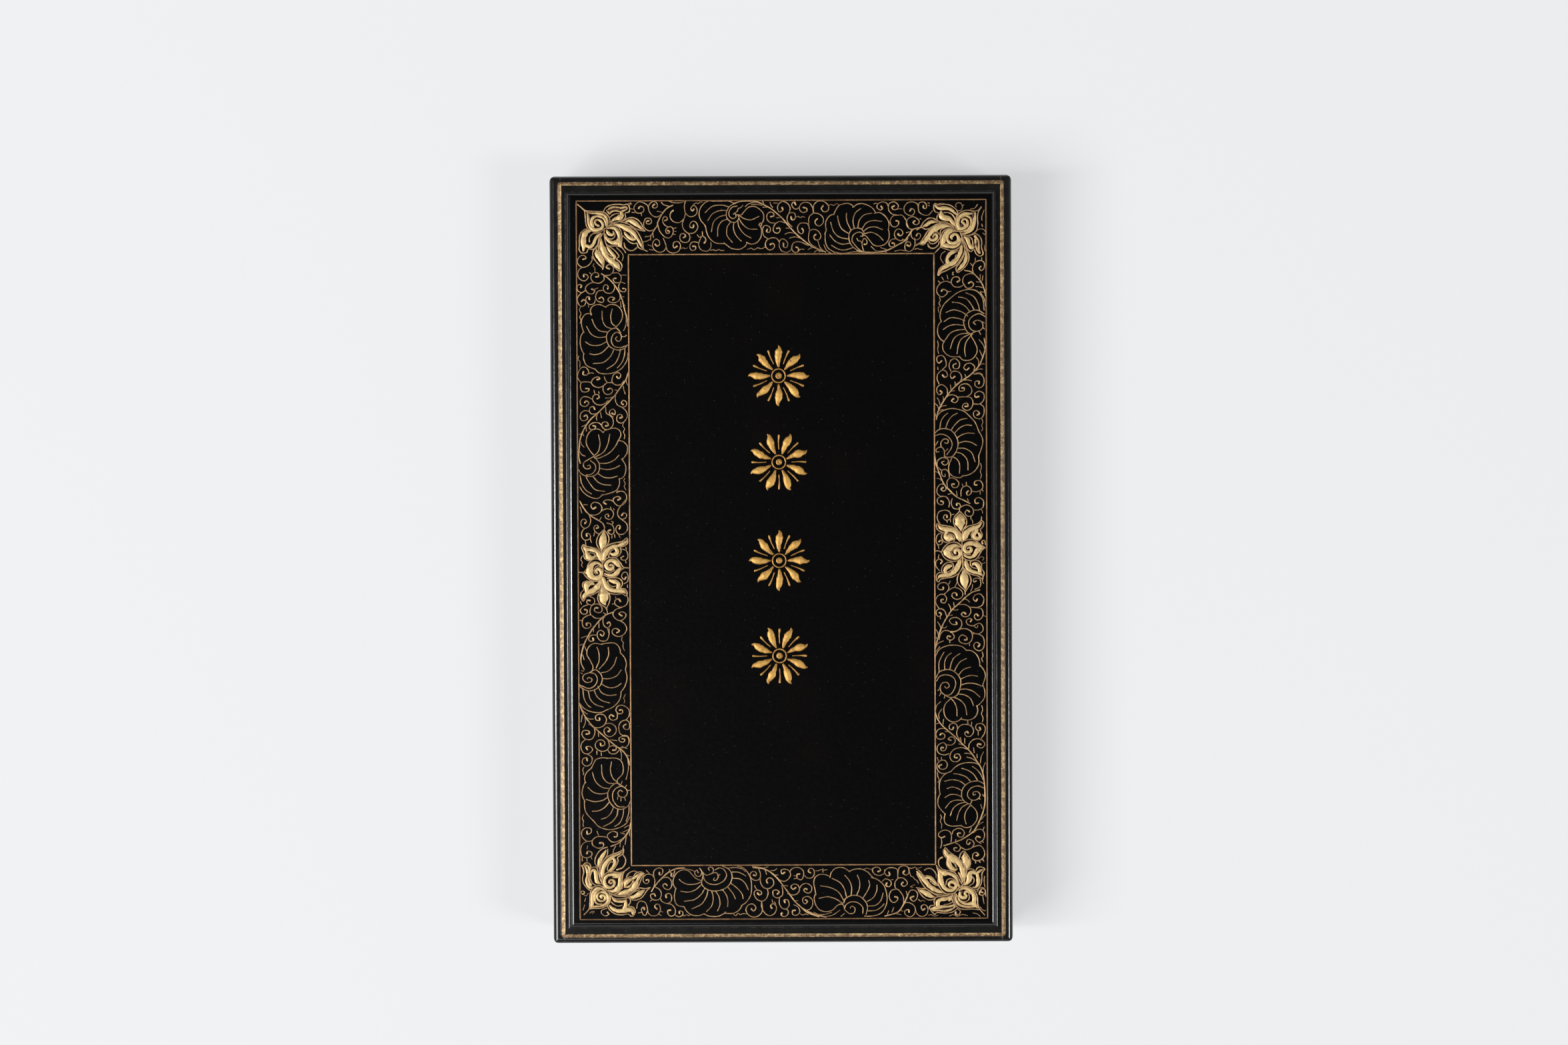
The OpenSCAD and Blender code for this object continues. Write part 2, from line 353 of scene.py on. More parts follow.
# Painted sheen: the mouldings and the ledge turn grey
colour = mix_colour(n, link, dull_and_sheen, colour, PAINTED_SHEEN_GREY)
colour = mix_colour(n, link, dust.outputs["Specks"], colour, DUST_GREY)
colour = mix_colour(n, link, wear.outputs["Wear"], colour, RUBBED_BROWN)
uneven = noise_node(n, link, place, scale=900)
gloss = stretch(n, link, uneven, 0.3, 0.75, to_low=0.112, to_high=0.138)
worn_rough = math_node(n, link, "MULTIPLY", wear.outputs["Wear"], WORN_ROUGHNESS)
dull_rough = math_node(n, link, "MULTIPLY", dull_and_sheen, DULL_ROUGHNESS)
gloss = math_node(n, link, "ADD", gloss, worn_rough)
gloss = math_node(n, link, "ADD", gloss, dull_rough)
ripple = noise_node(n, link, place, scale=420, detail=2)
soft_edge = n.new("ShaderNodeBevel")
soft_edge.samples = BEVEL_SAMPLES
soft_edge.inputs["Radius"].default_value = 0.4 * MM
rippled = bump(n, link, ripple, strength=0.06, distance=0.3 * MM)
link.new(soft_edge.outputs["Normal"], rippled.node.inputs["Normal"])
shader = n.new("ShaderNodeBsdfPrincipled")
shader.inputs["IOR"].default_value = 1.55
shader.inputs["Specular IOR Level"].default_value = 0.85
link.new(colour, shader.inputs["Base Color"])
link.new(gloss, shader.inputs["Roughness"])
link.new(rippled, shader.inputs["Normal"])
show_surface(n, link, shader)
print("lacquer nodes:", len(n))


# %% [markdown]
# The gold work is gold powder strewn on wet lacquer strokes, so it is a grainy, half dull gold.
# The tone follows the height above the board, read from Object coordinates: it is browner at the
# low edges of a stroke and in fine, low lines, and paler at a broad crest. The two ruled lines are
# browner, the outer one most of all. The band on the ledge has a pale gold whose fine specks are
# rubbed through to the black. One function makes every gold from its own few values.

# %% Gilding
GRAIN_SCALE = 2600
GRAIN_SHARE = 0.55
BARE_BLACK = (0.006, 0.005, 0.005, 1)
POWDER_METAL = 0.45
BARE_LEVEL, BARE_RANGE, BARE_FADE = 0.30, 0.28, 0.08


def make_gold(name, pale, brown, rubbed_through, foot, crest, board=panel_top,
              grit=900, mottle=210, contrast=0.14):
    """Gold powder, brown foot mm above its board and pale crest mm above it, worn black in specks."""
    gold, n, link = fresh_material(name)
    place = n.new("ShaderNodeTexCoord").outputs["Object"]
    split = n.new("ShaderNodeSeparateXYZ")
    link.new(place, split.inputs[0])
    # Browner towards a stroke's low edges, paler at its crest, by height above the board
    height_tone = stretch(n, link, split.outputs["Z"], board + foot * MM, board + crest * MM,
                       to_low=-0.2, to_high=0.12)
    grain = noise_node(n, link, place, GRAIN_SCALE, roughness=0.7)
    patches = noise_node(n, link, place, mottle)
    fine = math_node(n, link, "MULTIPLY", grain, GRAIN_SHARE)
    coarse = math_node(n, link, "MULTIPLY", patches, 1 - GRAIN_SHARE)
    powder = math_node(n, link, "ADD", fine, coarse)
    powder = math_node(n, link, "ADD", powder, height_tone)
    tone = mix_colour(n, link, stretch(n, link, powder, 0.5 - contrast, 0.5 + contrast), brown, pale)
    speck = noise_node(n, link, place, grit, detail=4, roughness=0.65)
    limit = BARE_LEVEL + BARE_RANGE * rubbed_through
    gone = stretch(n, link, speck, limit, limit - BARE_FADE)
    shader = n.new("ShaderNodeBsdfPrincipled")
    link.new(mix_colour(n, link, gone, tone, BARE_BLACK), shader.inputs["Base Color"])
    link.new(stretch(n, link, gone, 0, 1, POWDER_METAL, 0), shader.inputs["Metallic"])
    link.new(stretch(n, link, grain, 0.3, 0.7, 0.36, 0.56), shader.inputs["Roughness"])
    link.new(bump(n, link, grain, strength=0.25, distance=0.06 * MM), shader.inputs["Normal"])
    show_surface(n, link, shader)
    return gold


line_gold = make_gold("line_gold", (0.78, 0.51, 0.24, 1), (0.22, 0.125, 0.06, 1), rubbed_through=0.1,
                      foot=0.01, crest=0.09)
rule_gold = make_gold("rule_gold", (0.68, 0.40, 0.17, 1), (0.21, 0.11, 0.05, 1), rubbed_through=0.15,
                      foot=0.01, crest=0.11, mottle=400)
worn_gold = make_gold("worn_gold", (0.50, 0.28, 0.12, 1), (0.13, 0.068, 0.032, 1), rubbed_through=0.4,
                      foot=0.01, crest=0.12, grit=1500)
petal_gold = make_gold("petal_gold", (0.84, 0.60, 0.27, 1), (0.28, 0.145, 0.055, 1), rubbed_through=0.0,
                       foot=0.0, crest=0.08, mottle=800)
amber_gold = make_gold("amber_gold", (0.84, 0.48, 0.115, 1), (0.37, 0.18, 0.04, 1), rubbed_through=0.15,
                       foot=0.0, crest=0.16, mottle=500)
band_gold = make_gold("band_gold", (0.82, 0.58, 0.29, 1), (0.18, 0.105, 0.052, 1), rubbed_through=0.3,
                      foot=-0.3, crest=0.6, board=ledge_top, grit=3400, mottle=700, contrast=0.09)
golds = (line_gold, rule_gold, worn_gold, petal_gold, amber_gold, band_gold)
print("gold finishes:", [gold.name for gold in golds])


# %% [markdown]
# Silk lines the inside. Its weave is a fine tabby: crossed wave bands with a little noise give
# colour and bump, and the sheen sits on the shader's own sockets. Both silks use one group.

# %% Silk
SLUB_STRETCH = (60, 900, 200)
SLUB_SHARE = 0.35
weave_group, n, link, given, result = new_group(
    "silk_weave", {"Threads": 1800.0}, {"Thread": "NodeSocketFloat", "Slub": "NodeSocketFloat"})
place = n.new("ShaderNodeTexCoord").outputs["Object"]
threads = []
for direction in ("X", "Y"):
    bands = n.new("ShaderNodeTexWave")
    bands.bands_direction = direction
    bands.inputs["Distortion"].default_value = 0.6
    bands.inputs["Detail"].default_value = 1
    link.new(place, bands.inputs["Vector"])
    link.new(given.outputs["Threads"], bands.inputs["Scale"])
    threads.append(bands.outputs["Fac"])
link.new(math_node(n, link, "MAXIMUM", *threads), result.inputs["Thread"])
slub = n.new("ShaderNodeMapping")
slub.inputs["Scale"].default_value = SLUB_STRETCH
link.new(place, slub.inputs["Vector"])
link.new(noise_node(n, link, slub.outputs[0], scale=1.0, detail=2), result.inputs["Slub"])


def make_silk(name, light, deep, threads):
    """A woven silk in two tones."""
    silk, n, link = fresh_material(name)
    weave = place_group(n, weave_group, Threads=threads)
    thread = weave.outputs["Thread"]
    tone = mix_colour(n, link, thread, deep, light)
    slubs = stretch(n, link, weave.outputs["Slub"], 0.35, 0.7)
    tone = mix_colour(n, link, math_node(n, link, "MULTIPLY", slubs, SLUB_SHARE), tone, deep)
    shader = n.new("ShaderNodeBsdfPrincipled")
    shader.inputs["Sheen Weight"].default_value = 0.35
    shader.inputs["Sheen Roughness"].default_value = 0.35
    link.new(tone, shader.inputs["Base Color"])
    link.new(stretch(n, link, thread, 0, 1, to_low=0.62, to_high=0.45), shader.inputs["Roughness"])
    link.new(bump(n, link, thread, strength=0.35, distance=0.1 * MM), shader.inputs["Normal"])
    show_surface(n, link, shader)
    return silk


strip_silk = make_silk("strip_silk", (0.62, 0.42, 0.13, 1), (0.40, 0.25, 0.07, 1), threads=900.0)
pad_silk = make_silk("pad_silk", (0.70, 0.50, 0.18, 1), (0.48, 0.31, 0.09, 1), threads=800.0)
print("silks:", strip_silk.name, pad_silk.name)


# %% [markdown]
# The dowels are hidden in the corner laps, so their wood is a plain stretched grain. Every other
# solid of the CAD model is black lacquer, and each gets its finish in its own material slot.

# %% Hidden wood, and a finish for every CAD node
GRAIN_STRETCH = (900, 900, 90)
WOOD_DARK = (0.32, 0.19, 0.09, 1)
WOOD_LIGHT = (0.55, 0.38, 0.2, 1)
dowel_wood, n, link = fresh_material("dowel_wood")
place = n.new("ShaderNodeTexCoord").outputs["Object"]
along = n.new("ShaderNodeMapping")
along.inputs["Scale"].default_value = GRAIN_STRETCH
link.new(place, along.inputs["Vector"])
grain = noise_node(n, link, along.outputs[0], scale=1.0)
shader = n.new("ShaderNodeBsdfPrincipled")
shader.inputs["Roughness"].default_value = 0.6
link.new(mix_colour(n, link, grain, WOOD_DARK, WOOD_LIGHT), shader.inputs["Base Color"])
show_surface(n, link, shader)

for name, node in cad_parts.items():
    finish = dowel_wood if name.endswith("dowels") else lacquer
    node.data.materials.clear()
    node.data.materials.append(finish)
    for face in node.data.polygons:
        face.material_index = 0
print("CAD nodes finished:", len(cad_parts))


# %% [markdown]
# All gold lines are brush strokes. A stroke is a row of points in millimetres, seen from above,
# each with a width. A smooth curve runs through them, and a low domed section carried along the
# curve gives the raised line of gold. The ledge band has a leaning section instead, with its outer
# side low, so each side of the box catches its own light. A curve with a section is quicker to draw
# than a mesh, and is then made a mesh.

# %% Stroke tools
CAP_ANGLES = (35, 62, 82)
RULED_WAVER = 0.1
FREE_WAVER = 0.28
WAVER_SCALE = 0.9
WAVER_SHIFT = 3.1  # sets the noise of each stroke apart from the last one's
LEAST_WIDTH = 0.03
LEAST_REACH = 0.001
CREASE = math.radians(42)


def make_profile(name, outline):
    """A closed section, one unit each side of its middle, for strokes to carry."""
    data = bpy.data.curves.new(name, "CURVE")
    data.dimensions = "2D"
    section = data.splines.new("POLY")
    section.points.add(len(outline) - 1)
    for point, (x, y) in zip(section.points, outline):
        point.co = (x * MM, y * MM, 0, 1)
    section.use_cyclic_u = True
    return bpy.data.objects.new(name, data)


def smooth(points, step=0.32):
    """A smooth line (Catmull-Rom) through the points, as close samples of (x, y, width)."""
    rows = list(points)
    if len(rows) == 2:
        rows.insert(1, tuple((a + b) / 2 for a, b in zip(*rows)))
    rows = [tuple(2 * a - b for a, b in zip(rows[0], rows[1]))] + rows
    rows.append(tuple(2 * a - b for a, b in zip(rows[-1], rows[-2])))
    line = []
    for a, b, c, d in zip(rows, rows[1:], rows[2:], rows[3:]):
        count = max(1, int(math.dist(b[:2], c[:2]) / step + 0.5))
        for k in range(count):
            t = k / count
            line.append(tuple(0.5 * (2 * q + (r - p) * t + (2 * p - 5 * q + 4 * r - s) * t * t
                                     + (3 * q - p - 3 * r + s) * t ** 3)
                              for p, q, r, s in zip(a, b, c, d)))
    line.append(rows[-2])
    return line


def round_ends(line):
    """The line with a round cap added at each end, as a loaded brush leaves it."""
    for _ in range(2):
        line.reverse()
        x, y, w = line[-1]
        before = line[-2]
        reach = max(math.dist((x, y), before[:2]), LEAST_REACH)
        dx, dy = (x - before[0]) / reach, (y - before[1]) / reach
        for angle in CAP_ANGLES:
            ahead = w / 2 * math.sin(math.radians(angle))
            line.append((x + dx * ahead, y + dy * ahead, w * math.cos(math.radians(angle))))
    return line


def lay_strokes(name, strokes, profile, finish, z, closed=False):
    """One mesh piece of strokes that lies on the lid at height z."""
    data = bpy.data.curves.new(name, "CURVE")
    data.dimensions = "3D"
    data.twist_mode = "Z_UP"
    data.bevel_mode = "OBJECT"
    data.bevel_object = profile
    data.use_fill_caps = True
    waver = RULED_WAVER if closed else FREE_WAVER
    for number, stroke in enumerate(strokes):
        line = stroke if closed else round_ends(smooth(stroke))
        spline = data.splines.new("POLY")
        spline.points.add(len(line) - 1)
        spline.use_cyclic_u = closed
        for point, (x, y, w) in zip(spline.points, line):
            w *= 1 + waver * noise.noise((x * WAVER_SCALE, y * WAVER_SCALE, number * WAVER_SHIFT))
            point.co = (x * MM, y * MM, z, 1)
            point.radius = max(w, LEAST_WIDTH) / 2
    piece = bpy.data.objects.new(name, data)
    bpy.context.scene.collection.objects.link(piece)
    bpy.ops.object.select_all(action="DESELECT")
    piece.select_set(True)
    bpy.context.view_layer.objects.active = piece
    bpy.ops.object.convert(target="MESH")
    piece = bpy.context.object
    bpy.ops.object.mode_set(mode="EDIT")
    bpy.ops.mesh.select_all(action="SELECT")
    bpy.ops.mesh.normals_make_consistent(inside=False)
    bpy.ops.object.mode_set(mode="OBJECT")
    bpy.ops.object.shade_smooth_by_angle(angle=CREASE)
    piece.data.materials.clear()
    piece.data.materials.append(finish)
    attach(piece, "lid")
    print(name, len(strokes), "strokes,", len(piece.data.polygons), "faces")


# Sections in half widths of a stroke: across, and up from the board
line_section = make_profile("line_section", [(-1, -0.02), (-0.5, 0.28), (0.5, 0.28), (1, -0.02)])
petal_section = make_profile("petal_section", [(-1, -0.02), (-0.62, 0.16), (0.62, 0.16), (1, -0.02)])
band_section = make_profile("band_section", [(-1, -0.02), (-0.9, 0.42), (1, 0.04), (1.02, -0.02)])
print("sections:", [section.name for section in (line_section, petal_section, band_section)])


# %% [markdown]
# Two thin gold rectangles frame the border, and a broader worn band runs on the ledge round the
# panel. They are ruled by hand, so their width wavers a little along the way. They lie a little to
# the right of the lid's middle, as on the real box.

# %% Ruled lines and ledge band
def ruled(half_x, half_y, width, step=0.8, dx=0.0, dy=0.0):
    """Close points round a rectangle, as a closed stroke of even width."""
    corners = [(-half_x, -half_y), (half_x, -half_y), (half_x, half_y), (-half_x, half_y)]
    points = []
    for (ax, ay), (bx, by) in zip(corners, corners[1:] + corners[:1]):
        count = int(math.dist((ax, ay), (bx, by)) / step)
        for k in range(count):
            t = k / count
            points.append((ax + (bx - ax) * t + dx, ay + (by - ay) * t + dy, width))
    return points


LINE_WIDTH = 0.46
BAND_WIDTH = 1.2
OUTER_HALVES = (66.35, 116.8)
INNER_HALVES = (49.5, 99.3)
BAND_HALVES = (71.75, 122.5)
outer = ruled(*OUTER_HALVES, LINE_WIDTH, dx=0.25)
inner = ruled(*INNER_HALVES, LINE_WIDTH, dx=0.2, dy=0.1)
band = ruled(*BAND_HALVES, BAND_WIDTH, dx=0.1)
lay_strokes("outer_line", [outer], line_section, worn_gold, panel_top, closed=True)
lay_strokes("inner_line", [inner], line_section, rule_gold, panel_top, closed=True)
lay_strokes("ledge_band", [band], band_section, band_gold, ledge_top, closed=True)


# %% [markdown]
# The border was painted freehand and no two scrolls are alike, so each stroke is a short row of
# points read off the photograph. A row is a start x, y from the lid's middle and then steps
# right and up from point to point, all in tenths of a millimetre. One scale and shift fit all rows
# between the ruled lines, and no stroke crosses the outer one. Curls swell into a blob where the
# brush lifts, plain lines are even, stems are a little heavier.

# %% Turn rows into strokes
TENTHS = 10
FIT_X, FIT_Y, SHIFT_X = 0.9929, 0.9966, 0.2
LEFT_END, RIGHT_END, FAR_END = -66.0, 66.5, 116.6
SWELL_POINTS = 2


def walk(rights, ups):
    """Places in mm from steps in tenths of a mm; the first step starts at the lid's middle."""
    places = []
    for right, up in zip(accumulate(rights), accumulate(ups)):
        x = FIT_X * right / TENTHS + SHIFT_X
        y = FIT_Y * up / TENTHS
        places.append((min(max(x, LEFT_END), RIGHT_END), min(max(y, -FAR_END), FAR_END)))
    return places


def brush(row, width, end_width):
    """Points (x, y, width) along a row; a long row's last points swell to end_width."""
    pairs = walk(row[0::2], row[1::2])
    last = len(pairs) - 1
    swell = [0.0] * len(pairs)
    if last > SWELL_POINTS:
        swell = [max(0.0, 1 - (last - k) / SWELL_POINTS) for k in range(last + 1)]
    return [(x, y, width + (end_width - width) * s) for (x, y), s in zip(pairs, swell)]


# Width of a stroke on its way and at its end, in mm
CURL = (0.35, 0.64)
PLAIN_LINE = (0.30, 0.26)
STEM = (0.48, 0.44)
SHELL_RIB = (0.36, 0.33)


def lay_border(side, curls, lines, stems, shells):
    """All the strokes of one side of the border, as one piece."""
    strokes = [brush(row, *CURL) for row in curls]
    strokes += [brush(row, *PLAIN_LINE) for row in lines]
    strokes += [brush(row, *STEM) for row in stems]
    for shell in shells:
        strokes += [brush(row, *SHELL_RIB) for row in shell]
    lay_strokes(f"border_{side}", strokes, line_section, line_gold, panel_top)


# %% [markdown]
# The top side: two shell leaves grow from stems of the vine, and curls fill the gaps.

# %% Border, top side
top_curls = [
    (-432, 1149, -6, 11, -23, 9, -15, -11, -3, -12, 8, -12, 14, -2, 10, 8, -2, 11, -10, 3, -5, -6),
    (-386, 1132, -7, -7, -13, -6, -14, 6, -9, 12, -3, 13, 4, 12, 13, 9, 11, -8, 0, -11, -9, -4, -6, 6,
    6, 6), (-402, 1100, 1, -10, 7, -19, 16, -17, 15, -2, 11, 15, -1, 15, -10, 6, -12, -8, 0, -11, 6,
    -4, 6, 7, -6, 3), (-367, 1086, -13, 8, -6, 13, 4, 12, 9, 0, 2, -8, -7, -3), (-407, 1086, -10, -9,
    -15, -2, -14, 11, -1, 18, 7, 11, 13, 0, 5, -10, -5, -8, -11, 1, -1, 7, 7, 2), (-384, 1050, 6, -14,
    3, -15, -11, -14, -16, -1, -14, 11, -3, 17, 10, 13, 11, -5, 2, -12, -9, -5, -5, 6), (-375, 1021,
    6, -12, 17, -7, 18, 7, 6, 16, -6, 13, -14, 0, -4, -11, 4, -8, 8, 5), (-311, 1171, -4, -16, 4, -23,
    15, -12, 17, 5, 6, 15, -6, 14, -9, 1, -6, -9, 5, -7, 5, 5), (-311, 1132, -6, -19, -15, -12, -18,
    3, -11, 13, 1, 15, 8, 8), (-317, 1111, -5, -15, 5, -17, 15, -13, 20, 3, 11, 17, -6, 15, -11, 4,
    -9, -9, 1, -10, 9, -2, 2, 8), (-302, 1065, 5, -10, -3, -13, -11, -6, -14, 4, -5, 12, 3, 11, 10, 2,
    6, -8, -7, -5), (-267, 1034, -12, 4, -13, -2, -6, -13, 6, -12, 12, 2, 1, 10, -8, 1), (-257, 1071,
    2, -14, 7, -5, 3, -9, -5, -8), (-20, 1098, -15, 2, -10, 11, 0, 15, 10, 8, 11, -4, 0, -9, -9, -2),
    (15, 1098, -16, 5, -15, -5, -8, -12, 0, -15, 12, -6, 9, 8, -2, 9, -8, -1), (-42, 1047, -14, 10,
    -4, 18, 4, 13, 11, 2, 10, -8, -2, -13, -10, 1, 2, 7), (-5, 1036, -9, 12, -17, 2, -16, -8, -4, -16,
    8, -13, 13, -1, 9, 11, -5, 9, -9, -3), (-6, 1038, 7, 8, 12, -2, 9, -12, -4, -13, -9, 2, -1, 11),
    (88, 1025, -23, 11, -20, 0, -9, -11, 0, -14, 8, -8, 11, 2, 2, 10, -7, 5), (26, 1128, 4, 20, -10,
    15, -15, 5, -13, -9, -3, -13, 6, -12, 11, 6, -2, 8), (36, 1086, -12, 12, -4, 15, 5, 15, 13, 4, 9,
    -7, -2, -14, -9, -2, -3, 9), (106, 1132, -3, 16, -8, 13, -15, 4, -13, -4, -7, -12, 3, -11, 9, -6,
    12, 4, 0, 9, -10, 3), (61, 1150, -12, -7, -11, 7, -2, 11, 8, 5, 4, -8), (106, 1132, 0, 16, 3, 11,
    13, 10, 19, -2, 14, -13, -2, -16, -13, -4, -8, 10, 5, 9), (106, 1130, 16, -2, 14, -11, 2, -17,
    -12, -12, -11, 4, -4, 11, 7, 8), (93, 1073, 12, 4, 15, -4, 10, -16, -6, -13, -13, 0, -4, 11, 6,
    5), (93, 1078, -5, 16, -12, 4, -15, -2, -7, -14, 5, -15, 10, -4, 4, 10, -4, 7), (350, 1152, -6,
    10, -15, 3, -14, -8, -1, -11, 11, -7, 6, 6, -4, 6), (379, 1122, -18, 5, -10, 13, 0, 14, 5, 8, 15,
    3, 12, -11, -4, -12, -12, -2, -5, 8, 7, 4), (379, 1122, -14, -3, -9, -15, 5, -16, 12, -4, 10, 8,
    0, 10, -7, 2), (379, 1122, 17, -1, 13, -17, 2, -12, 3, -8), (440, 1079, -15, -3, -12, 8, -4, 14,
    6, 13, 17, 6, 18, -12, -2, -11, -10, -3, -7, 7, 5, 5), (448, 1150, -4, 9, -14, 6, -17, -3, -11,
    -14, 3, -18, 18, -10, 11, 7, 1, 11, -9, 5, -5, -7), (494, 1136, -12, -13, -15, -1, -16, 10, -3,
    18, 4, 12, 15, 2, 8, -10, -2, -10, -8, 1, 0, 7), (402, 1042, -16, -2, -13, 10, -3, 15, 10, 12, 14,
    -4, 3, -12, -9, -6, -6, 6), (373, 1046, -14, -4, -7, -12, 5, -10, 11, 1, 2, 9, -7, 2), (425, 1073,
    -1, -14, 6, -13, 14, -4, 11, 10, -2, 9, -8, 1, -3, -6), (436, 1048, 1, -20, -7, -17, -13, -7, -12,
    7, 0, 17, 10, 8, 8, -6, -4, -9, -7, 4), (271, 1004, -6, 17, 0, 15, 6, 11, 9, -7, -1, -11, -7, -1),
]
top_lines = [
    (-355, 1156, -16, -8, -15, -16, -10, -17, -6, -15, -5, -14, -10, -15, -8, -12, -19, -4), (-390,
    1167, 8, -8, 19, -5, 8, 2), (-363, 1171, 11, -5, 20, -1, 23, 8), (-419, 1069, 3, -16), (-450,
    1038, 14, 4, 11, 7), (-434, 1029, 12, -4), (-425, 1060, -1, -16), (-429, 1014, 12, -2), (-403,
    1138, 15, -3), (-509, 1025, 7, -10, 16, -4, 15, 10), (-490, 1147, 8, -2), (-486, 1135, 10, -1),
    (-456, 1134, 2, -10), (-496, 1164, 9, -2), (-490, 1168, -3, -10), (-352, 1082, 10, 2), (-352,
    1073, 10, -1), (-353, 1065, 8, -3), (-286, 1159, 11, 6, 4, -4, 7, 6, 7, 0), (-325, 1017, 7, 2, 5,
    -3, 8, 3), (-273, 1061, 7, -8, 10, 5), (-265, 1044, -4, -12, 4, -15, 11, -8, 16, 0, 9, 12, 0, 15),
    (-259, 1057, -6, -13), (-230, 1011, 10, 1, 7, -3, 9, 4, 8, -3, 10, 0), (-5, 1036, -1, -11, 7, -16,
    17, -6, 14, 8, 4, 14), (106, 1130, -13, -11, -3, -17, 3, -24), (93, 1073, -3, -16, 0, -15, 9, -14,
    16, -9), (120, 1040, 6, -19, 12, -14), (49, 1117, 7, 3, 7, -5, 7, 4, 8, -3), (155, 1154, 9, 4, 8,
    -4, 8, 6, 8, -2), (59, 1010, 7, 3, 9, -1), (-110, 1013, 12, 4, 10, -5, 12, 6, 12, -3, 13, 6),
    (-60, 1173, 5, -13), (-35, 1165, 2, -8, 6, -8), (-23, 1163, 11, 0), (-14, 1115, 16, 2), (13, 1062,
    15, 5, 20, -3), (17, 1082, 11, -1), (27, 1049, 18, 4, 17, -4), (88, 1011, 10, 6, 14, 3), (-59,
    1150, 12, -1), (109, 1003, 9, 6, 17, -4), (118, 1012, 8, -8), (-96, 1159, 16, 0, 18, -3), (303,
    1159, 7, 2, 5, -1), (382, 1142, 6, 1, 6, -1), (481, 1154, 3, -2), (479, 1161, 5, 0), (438, 1025,
    21, 11), (436, 1011, 9, 3, 6, -3, 10, -1), (371, 1005, 19, 4, 16, -3), (409, 1065, 9, 3), (406,
    1032, 8, 15), (453, 1110, 2, 1, 1, -2), (140, 1027, 8, -17, 15, -11), (175, 1003, 25, -4, 40, 5,
    25, -2), (294, 1021, 15, -14, 11, -1), (325, 1017, 23, -8), (317, 1004, 13, 2, 14, -4), (396,
    1044, 9, -4), (573, 1135, 13, 2, 6, 11, -5, 12, -11, 1, -7, -7, 3, -6), (592, 1153, 5, 1), (618,
    1141, 14, 3, 9, 12), (662, 1137, -7, -22, 1, -11), (655, 1092, 2, -8), (515, 1159, 17, 0), (479,
    1029, 2, -11, 15, -5, 15, 11), (632, 1064, 12, 11, 16, 0, 9, -9, -4, -8, -7, 5), (663, 1023, 2,
    -18),
]
top_stems = [
    (-155, 1161, 23, 8, 27, 4, 27, -5, 23, -11, 24, -13, 23, -19, 15, -14, 19, -23, 23, -25, 27, -23,
    23, -17, 27, -12, 19, -7), (-353, 1157, -18, -9, -15, -16, -10, -17, -7, -15), (248, 1009, 23, -6,
    42, -1, 35, 7, 31, 16, 23, 13, 15, 19, 13, 18, 24, 7),
]
shell_top_a = [
    (-153, 1163, -17, 10, -23, 6, -25, 1, -21, -9, -20, -17, -8, -22, 5, -23, 15, -19, 4, -19, 10,
    -21, 21, -16, 29, -2), (-186, 1034, 8, -6, 16, -11, 23, -4, 19, 8, 10, 14), (-113, 1036, 16, -6,
    19, 6, 12, 17, 3, 22, -5, 16), (-72, 1092, 3, 6, 6, -2, -1, -6, -6, -1), (-65, 1095, 7, 10, 2, 20,
    -10, 15, -19, 12, -20, -2, -13, -12, -12, -13, -13, 1), (-155, 1161, -15, -11, -8, -18, 2, -17,
    14, -13, 15, 0, 10, 13, -4, 11), (-143, 1154, -16, -4, -10, -14, 1, -15, 11, -8, 10, 6, -1, 10,
    -7, -1), (-151, 1132, 8, 4, 4, 10, 7, 2, 8, 8), (-116, 1152, 11, 9, 23, 5, 25, -7), (-172, 1152,
    -21, 5, -31, -4, -23, -20), (-178, 1140, -23, -1, -23, -11, -15, -21), (-178, 1125, -23, -6, -19,
    -17, -7, -31), (-176, 1111, -17, -7, -12, -18, -2, -30), (-166, 1100, -10, -16, 0, -25, 17, -23),
    (-153, 1101, -2, -19, 8, -23, 17, -19), (-141, 1107, 4, -21, 17, -23, 22, -13), (-137, 1113, 13,
    -19, 19, -14, 26, -2), (-137, 1124, 17, -11, 23, -4, 25, 11),
]
shell_top_b = [
    (144, 1063, 1, -27, 10, -21, 20, -13), (148, 1075, -5, -13), (173, 1126, -14, -5, -12, -17, -1,
    -18, 2, -12), (190, 1156, -10, -14, -8, -17), (238, 1149, -10, 9, -15, 3, -23, -5), (234, 1148,
    18, 11, 23, -1, 23, -12, 12, -17), (304, 1128, 17, 3, 19, -12, 12, -21, -2, -25), (350, 1076, 3,
    -13, -2, -19, -11, -15, -19, -7, -19, 4, -14, 16, -10, 12, -8, 4), (266, 1053, 5, 11, -8, 13, -15,
    4, -18, -6, -8, -14, 0, -17, 8, -19, 18, -16), (259, 1054, 8, 3, -3, 8, -14, 2, -15, -10, -3, -17,
    10, -15, 14, -15, 8, -4), (248, 1047, 4, -8, 6, 0, 5, -6), (222, 1062, -24, 17, -10, 23, -3, 18),
    (228, 1075, -11, 23, -4, 19, 1, 12), (239, 1081, -4, 24, 7, 24, 18, 15), (251, 1083, 4, 22, 16,
    18, 25, 6), (264, 1078, 15, 20, 23, 7, 27, -3), (270, 1071, 16, 11, 23, 2, 22, -9), (272, 1062,
    22, 5, 23, -10, 16, -16), (222, 1045, -32, 7, -19, 19, -9, 29), (225, 1032, -27, -3, -23, 11, -16,
    19), (236, 1018, -27, -8, -23, 3, -21, 12),
]
lay_border("top", top_curls, top_lines, top_stems,
           [shell_top_a, shell_top_b])


# %% [markdown]
# The bottom side mirrors the top only roughly: its shells lean the other way.

